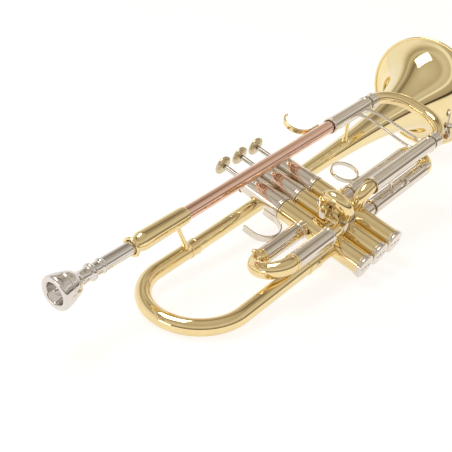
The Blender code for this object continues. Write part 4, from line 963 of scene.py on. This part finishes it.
# Posts: brass rods, turned with a spread foot at each end, soldered between the bell and the
# leadpipe's side so that the two run side by side.
POST_RADIUS = 1.8
POST_SPREAD = 2.6


def post(name, start, stop, head, tail, steps=40):
    """Round post between two points, spreading to a foot on each tube."""
    length = (stop - start).length
    path = [start.lerp(stop, step / steps) for step in range(steps + 1)]
    radii = []
    for step in range(steps + 1):
        nearest = min(step, steps - step) * length / steps
        radii.append(POST_RADIUS + POST_SPREAD * math.exp(-((nearest / 1.7) ** 1.3)))
    bm = bmesh.new()
    solid_rod(bm, path, radii, 32, head, tail)
    fit(name + "_brass", bm, yellow_brass, name)


receiver_line = Vector((0.0, mouth.y, mouth.z))
post_low, post_high = spans("post_receiver")
bell_foot = bow_top + X * (post_high.x - 4.4)
pipe_foot = receiver_line + X * (post_low.x + 4.1)
way = (pipe_foot - bell_foot).normalized()
post(
    "post_receiver",
    bell_foot + way * (FERRULE_RADIUS + 0.2),
    pipe_foot - way * (7.3 + 0.2),
    (bow_top, X, FERRULE_RADIUS - 0.3),
    (receiver_line, X, 7.1),
)
post_low, post_high = spans("post_sleeve")
bell_x = post_high.x - 4.6
bell_at = stem_end + bell_axis * (bell_x - stem_end.x)
pipe_foot = upper_line + X * (post_low.x + 4.2)
way = (pipe_foot - bell_at).normalized()
throat = bell_radius(bell_length - (bell_x - stem_end.x))
post(
    "post_sleeve",
    bell_at + way * (throat + 0.3),
    pipe_foot - way * (SLEEVE_RADIUS + 0.2),
    (stem_end, bell_axis, throat - 0.2),
    (upper_line, X, SLEEVE_RADIUS - 0.1),
)

# Little finger hook: a brass strip with rounded edges, curled forward over the leadpipe and
# soldered on it along its foot.
HOOK_WIDTH = 4.8
HOOK_THICKNESS = 1.9
low, high = spans("pinky_hook")
hook_reach = (high.y - low.y - HOOK_THICKNESS) / 2.0
hook_x = low.x + HOOK_THICKNESS / 2.0 + hook_reach
hook_foot = LEADPIPE_RADIUS + rim_face.y + 0.75
hook_centre = Vector((hook_x, hook_foot + hook_reach, rim_face.z))
hook_path = [Vector((hook_x + reach, hook_foot, rim_face.z)) for reach in (10.0, 7.5, 5.0, 2.5)]
hook_path += arc(hook_centre, -Y, -X, hook_reach, 0.0, 178.0, 48)
hook_tip = [HOOK_WIDTH * (1.0 - 0.03 * step**1.3) for step in range(8)]
hook_widths = [HOOK_WIDTH] * (len(hook_path) - len(hook_tip)) + hook_tip
hook = bmesh.new()
strap(hook, hook_path, Z, hook_widths, HOOK_THICKNESS, squareness=4.0)
fit("little_finger_hook_brass", hook, yellow_brass, "pinky_hook")

# Studio: a white paper sweep that glows a little, so that shadows stay faint, in a pale room. Dark
# bands round its walls give the metal edges to mirror, and two softboxes give it highlights.
FAR_SIDE = Vector((0.35, 0.937, 0.0))
floor_mesh = bpy.data.meshes.new("sweep")
floor_bm = bmesh.new()
bmesh.ops.create_grid(floor_bm, x_segments=1, y_segments=1, size=6.0)
floor_bm.to_mesh(floor_mesh)
floor_bm.free()
floor = bpy.data.objects.new("sweep", floor_mesh)
bpy.context.scene.collection.objects.link(floor)
paper = bpy.data.materials.new("white_paper_sweep")
paper.use_nodes = True
paper_shader = paper.node_tree.nodes["Principled BSDF"]
paper_spot = add(paper.node_tree, "ShaderNodeTexCoord").outputs["Object"]
paper_cloud = add(paper.node_tree, "ShaderNodeTexNoise", {"Vector": paper_spot, "Scale": per_mm(120.0)})
paper_tone = add(
    paper.node_tree,
    "ShaderNodeMix",
    {0: paper_cloud.outputs["Fac"], 6: linear("#9C9A96"), 7: linear("#989690")},
    data_type="RGBA",
)
paper.node_tree.links.new(paper_tone.outputs[2], paper_shader.inputs["Base Color"])
paper_shader.inputs["Roughness"].default_value = 0.9
paper_shader.inputs["Specular IOR Level"].default_value = 0.0
paper_shader.inputs["Emission Color"].default_value = linear("#FFFDFB")
paper_shader.inputs["Emission Strength"].default_value = 0.8
floor_mesh.materials.append(paper)

scene = bpy.context.scene
scene.view_settings.view_transform = "Standard"
world = bpy.data.worlds.new("studio")
world.use_nodes = True
scene.world = world
sky = world.node_tree
direction = add(sky, "ShaderNodeTexCoord").outputs["Generated"]
facing = add(sky, "ShaderNodeVectorMath", {0: direction, 1: FAR_SIDE}, operation="DOT_PRODUCT")
height = add(sky, "ShaderNodeSeparateXYZ", {"Vector": direction}).outputs["Z"]


def room_wall(stops):
    """Colours of one side of the room by height, from the floor at 0 to overhead at 1."""
    ramp = add(sky, "ShaderNodeValToRGB", {"Fac": height})
    ramp.color_ramp.elements[0].color = linear(stops[0][1])
    ramp.color_ramp.elements[1].color = linear(stops[-1][1])
    for place, code in stops[1:-1]:
        ramp.color_ramp.elements.new(place).color = linear(code)
    return ramp.outputs["Color"]


near_side = [(0.0, "#F2EEE8"), (0.03, "#D8D0C6"), (0.06, "#40382F"), (0.13, "#4C433A"), (0.17, "#B7AC9D")]
near_side += [(0.40, "#C4BBAE"), (0.44, "#FFFFFC"), (0.49, "#FFFFFC"), (0.53, "#D2CBC1"), (0.70, "#DFD9D0")]
near_side += [(0.80, "#C2B9AC"), (1.0, "#D6CFC4")]
far_side = [(0.0, "#FFFFFF"), (0.36, "#FFFEFB"), (0.46, "#ECE7DE"), (0.56, "#BFB5A3"), (0.62, "#B1A692")]
far_side += [(0.68, "#DBD4C8"), (0.74, "#BFB5A3"), (0.84, "#83786A"), (0.90, "#BAB0A1"), (1.0, "#D6CFC4")]
side = add(
    sky,
    "ShaderNodeMapRange",
    {"Value": facing.outputs["Value"], "From Min": -0.2, "From Max": 0.3},
)
walls = add(
    sky,
    "ShaderNodeMix",
    {0: side.outputs["Result"], 6: room_wall(near_side), 7: room_wall(far_side)},
    data_type="RGBA",
)
background = sky.nodes["Background"]
sky.links.new(walls.outputs[2], background.inputs["Color"])
background.inputs["Strength"].default_value = 1.0

softboxes = (
    ("softbox_overhead", Vector((-0.25, 0.55, 1.35)), (0.9, 0.5), 9.0),
    ("softbox_left", Vector((-1.5, 0.38, 0.14)), (0.5, 0.24), 1.3),
)
for name, spot, size, power in softboxes:
    lamp = bpy.data.lights.new(name, "AREA")
    lamp.shape = "RECTANGLE"
    lamp.size, lamp.size_y = size
    lamp.energy = power
    lamp.color = linear("#FFFBF3")[:3]
    box = bpy.data.objects.new(name, lamp)
    scene.collection.objects.link(box)
    box.location = spot
    box.rotation_euler = (-spot + Vector((0.0, 0.0, 0.05))).to_track_quat("-Z", "Y").to_euler()

# Camera: a long lens beside the mouthpiece, a little above the trumpet, rolled three degrees.
eye = Vector((-0.5809, -0.3738, 0.3481))
bearing = math.radians(-51.6)
pitch = math.radians(63.1)
roll = math.radians(3.05)
lens = bpy.data.cameras.new("camera")
lens.lens = 68.87
lens.sensor_width = 36.0
lens.clip_start = 0.01
camera = bpy.data.objects.new("camera", lens)
scene.collection.objects.link(camera)
camera.matrix_world = (
    Matrix.Translation(eye)
    @ Matrix.Rotation(bearing, 4, "Z")
    @ Matrix.Rotation(pitch, 4, "X")
    @ Matrix.Rotation(roll, 4, "Z")
)
scene.camera = camera
